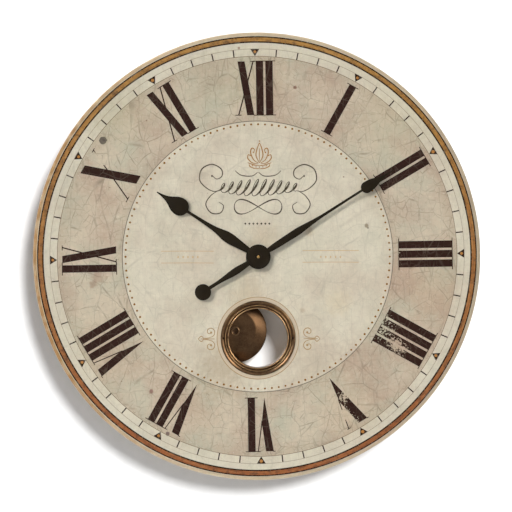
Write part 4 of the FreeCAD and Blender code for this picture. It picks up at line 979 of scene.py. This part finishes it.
def handPiece(name, hand):
    bulb, middle, tip = hand["bulb"], hand["bulbAt"], hand["tip"]
    reach = tip - middle
    spade = [(middle - 0.99 * bulb, 0.16 * bulb), (middle - 0.86 * bulb, 0.52 * bulb),
             (middle - 0.5 * bulb, 0.87 * bulb), (middle, bulb), (middle + 0.22 * reach, 0.87 * bulb),
             (middle + 0.42 * reach, 0.52 * bulb), (middle + 0.6 * reach, 0.27 * bulb),
             (middle + 0.8 * reach, 0.13 * bulb), (tip, 0.05 * bulb)]
    lines = [smoothLine(points, 12) for points in (hand["leaf"], hand["tail"], spade) if points]
    rounds = [(0, hand["hub"])] + ([hand["disc"]] if hand["disc"] else [])
    first = min(centre - radius for centre, radius in rounds) + 0.01
    places = {first, tip}
    for k in range(int(tip - first)):
        places.add(first + k)
    for centre, radius in rounds:
        for k in range(1, 60):
            places.add(centre + radius * cos(pi * k / 60))
    for k in range(1, 14):
        places.add(middle - bulb + 0.35 * k)
    places = sorted(p for p in places if first <= p <= tip)
    angle = radians(hand["direction"])
    rear, front = hand["rear"], hand["rear"] + hand["thickness"]
    verts, faces = [], []
    for i, along in enumerate(places):
        half = max([widthAt(line, along) for line in lines]
                   + [roundAt(centre, radius, along) for centre, radius in rounds] + [0.2])
        soft = min(0.45, half * 0.5)
        section = [(-half + soft / 3, rear), (-half, rear + 0.15), (-half, front - soft * 0.7),
                   (-half + soft * 0.35, front - soft * 0.18), (-half + soft, front),
                   (half - soft, front), (half - soft * 0.35, front - soft * 0.18),
                   (half, front - soft * 0.7), (half, rear + 0.15), (half - soft / 3, rear)]
        count = len(section)
        for side, depth in section:
            x, z = dialPoint(side, along, angle)
            verts.append((x, depth, z))
        if i:
            a, b = count * (i - 1), count * i
            faces += [(a + k, b + k, b + (k + 1) % count, a + (k + 1) % count) for k in range(count)]
    faces += [tuple(range(count)), tuple(range(len(verts) - 1, len(verts) - count - 1, -1))]
    return cutRound(meshPiece(name, (verts, faces), [handLacquer], 40), (0, 0), hand["bore"])


rideOn(handPiece("hourHand", hourHand), "hour", "black_hands", "hour_hand")
rideOn(handPiece("minuteHand", minuteHand), "minute", "black_hands", "minute_hand")
hub = [(2.3, 50.3), (15.4, 50.3), (16, 50.6), (16, 51.2), (15.5, 51.5), (13.6, 51.6), (13.2, 51.36),
       (12.8, 51.6), (5.2, 51.6), (2.3, 51.6)]
shape = turnedMesh(softProfile(hub, 0.2, 2))
rideOn(meshPiece("minuteHub", shape, [handLacquer], 40), "minute", "black_hands")
print("hands ready")

# wood screws at the back, with crossed recesses
screws = {"circle": 249, "count": 8, "first": 22.5, "head": 4.2, "shank": 2.0, "length": 38}


def screwMesh(head, shank, rear, length):
    # a countersunk screw whose flat head carries a cross recess, head towards the wall
    slot, deep, arm = head * 0.17, head * 0.3, head * 0.62
    cross = [dialPoint(side, out, pi / 2 * quarter) for quarter in range(4)
             for side, out in ((-slot, arm), (slot, arm), (slot, slot))]
    around = len(cross) * 2
    verts, faces = [], []

    def loop(points, depth):
        start = len(verts)
        verts.extend((x, depth, z) for x, z in points)
        return list(range(start, start + len(points)))

    def circle(radius, depth):
        return loop(roundOutline(radius, around, phase=-slot / arm), depth)

    doubled = []
    for here, there in zip(cross, cross[1:] + cross[:1]):
        doubled += [tuple(Vector(here)), tuple((Vector(here) + Vector(there)) / 2)]
    floor = loop(doubled, rear + deep)
    mouth = loop(doubled, rear + 0.02)
    rows = [floor, mouth, circle(head * 0.97, rear), circle(head, rear + 0.25),
            circle(shank, rear + head - shank + 0.25), circle(shank, length - 2 * shank),
            circle(0.2, length)]
    for here, there in zip(rows, rows[1:]):
        for k in range(around):
            n = (k + 1) % around
            faces.append((here[k], here[n], there[n], there[k]))
    faces.append(tuple(floor))
    faces.append(tuple(reversed(rows[-1])))
    return verts, faces


shape = screwMesh(screws["head"], screws["shank"], 0.02, screws["length"])
ringScrews = repeat("ringScrews", shape, ringRepeat, Count=screws["count"], Radius=screws["circle"] * mm,
                    Turn=radians(screws["first"]), Seed=2, Material=zincScrew)
rideOn(ringScrews, "root", "zinc_screws", "ring_screws")
hangerScrews = repeat("hangerScrews", screwMesh(3.4, 1.6, 0.2, 14), rowRepeat, Count=2, Material=zincScrew,
                      Start=(-24 * mm, 0, 249 * mm), Step=(48 * mm, 0, 0))
rideOn(hangerScrews, "root", "zinc_screws", "hanger_screws")

# moulded ribs on the movement's cover, which stiffen it below the train
coverDepth = -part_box("movement_cover")[1].y / mm
ribs = {"count": 9, "pitch": 4.4, "width": 1.1, "height": 13, "proud": 0.5, "x": 4, "z": -31}
outline = rectangle(ribs["width"] / 2, ribs["height"] / 2)
firstRib = ribs["x"] - ribs["pitch"] * (ribs["count"] - 1) / 2
coverRibs = repeat("coverRibs", prismMesh(outline, coverDepth + 0.1, coverDepth - ribs["proud"]), rowRepeat,
                   Count=ribs["count"], Start=(firstRib * mm, 0, ribs["z"] * mm),
                   Step=(ribs["pitch"] * mm, 0, 0), Material=casePlastic)
rideOn(coverRibs, "root", "case_plastic")
print("back ready")


# wall, floor, lights and camera
def stagePlane(name, corners, colour, oneSided):
    mesh = bpy.data.meshes.new(name)
    mesh.from_pydata(corners, [], [(0, 1, 2, 3)])
    plane = bpy.data.objects.new(name, mesh)
    bpy.context.scene.collection.objects.link(plane)
    material, tree, shader, where = newMaterial(name + "Paint", {"Roughness": 0.9})
    grain = put(tree, "TexNoise", {"Vector": where, "Scale": 60, "Detail": 2})
    tone = put(tree, "Mix", {0: grain, 6: colour, 7: "#EBEBEA"}, data_type="RGBA")
    feed(tree, shader, {"Base Color": tone})
    if oneSided:
        side = put(tree, "NewGeometry").outputs["Backfacing"]
        clear = put(tree, "BsdfTransparent")
        both = put(tree, "MixShader", [side, shader, clear])
        feed(tree, next(n for n in tree.nodes if n.type == "OUTPUT_MATERIAL"), {"Surface": both})
        plane.visible_shadow = False
    mesh.materials.append(material)
    return plane


room = {"half": 5.0, "floor": -1.5, "wallGap": 0.0004}
half = room["half"]
wall = stagePlane("wall", [(-half, room["wallGap"], room["floor"]), (half, room["wallGap"], room["floor"]),
                           (half, room["wallGap"], half), (-half, room["wallGap"], half)], "#F7F7F7", True)
floor = stagePlane("floor", [(-half, -2 * half, room["floor"]), (half, -2 * half, room["floor"]),
                             (half, half, room["floor"]), (-half, half, room["floor"])], "#E0E0DF", False)

lamps = {
    # direction the light comes from, strength in W/m2, softness in degrees, colour, what it lights
    "wallKey": ((0.54, -1.0, 0.68), 5.7, 27, "#FFFFFF", "wall"),
    "dialKey": ((-0.75, -1.0, 0.62), 2.36, 24, "#FFFAF4", "front"),
    "brassGlint": ((0.62, -1.0, 0.3), 2.0, 20, "#FFF4E6", "brass"),
    "rearFill": ((-0.5, 1.0, 0.5), 2.2, 40, "#FFFFFF", "clock"),
}
brassNames = ("windowRim", "rimPins", "pendulumBob", "bobBoss")
receivers = {light[4]: bpy.data.collections.new(light[4] + "Receivers") for light in lamps.values()}
for thing in bpy.context.scene.objects:
    if thing == wall:
        receivers["wall"].objects.link(thing)
    elif thing.type == "MESH":
        receivers["front"].objects.link(thing)
        if thing != floor:
            receivers["clock"].objects.link(thing)
    if thing.name in brassNames or thing == nodes["minute_arbor"]:
        receivers["brass"].objects.link(thing)
for name, (source, strength, softness, tint, lights) in lamps.items():
    light = bpy.data.lights.new(name, "SUN")
    light.energy = strength
    light.angle = radians(softness)
    light.color = hexColour(tint)[:3]
    lamp = bpy.data.objects.new(name, light)
    lamp.rotation_mode = "QUATERNION"
    lamp.rotation_quaternion = Vector(source).to_track_quat("Z", "Y")
    lamp.light_linking.receiver_collection = receivers[lights]
    bpy.context.scene.collection.objects.link(lamp)
world = bpy.data.worlds.new("studio")
world.use_nodes = True
world.node_tree.nodes["Background"].inputs["Color"].default_value = hexColour("#E9EEF7")
world.node_tree.nodes["Background"].inputs["Strength"].default_value = 0.28
bpy.context.scene.world = world
bpy.context.scene.view_settings.view_transform = "Standard"

shot = {"aim": (-0.0027, -0.0438, 0.0009), "distance": 2.5, "left": 2.6, "above": 1.0, "lens": 135.03}
camera = bpy.data.objects.new("camera", bpy.data.cameras.new("camera"))
bpy.context.scene.collection.objects.link(camera)
sideways, upwards = radians(shot["left"]), radians(shot["above"])
back = Vector((-sin(sideways) * cos(upwards), -cos(sideways) * cos(upwards),
               sin(upwards)))
camera.location = Vector(shot["aim"]) + back * shot["distance"]
camera.rotation_mode = "QUATERNION"
camera.rotation_quaternion = back.to_track_quat("Z", "Y")
camera.data.lens = shot["lens"]
camera.data.clip_start = 0.05
camera.data.clip_end = 50
bpy.context.scene.camera = camera

print("scene ready")
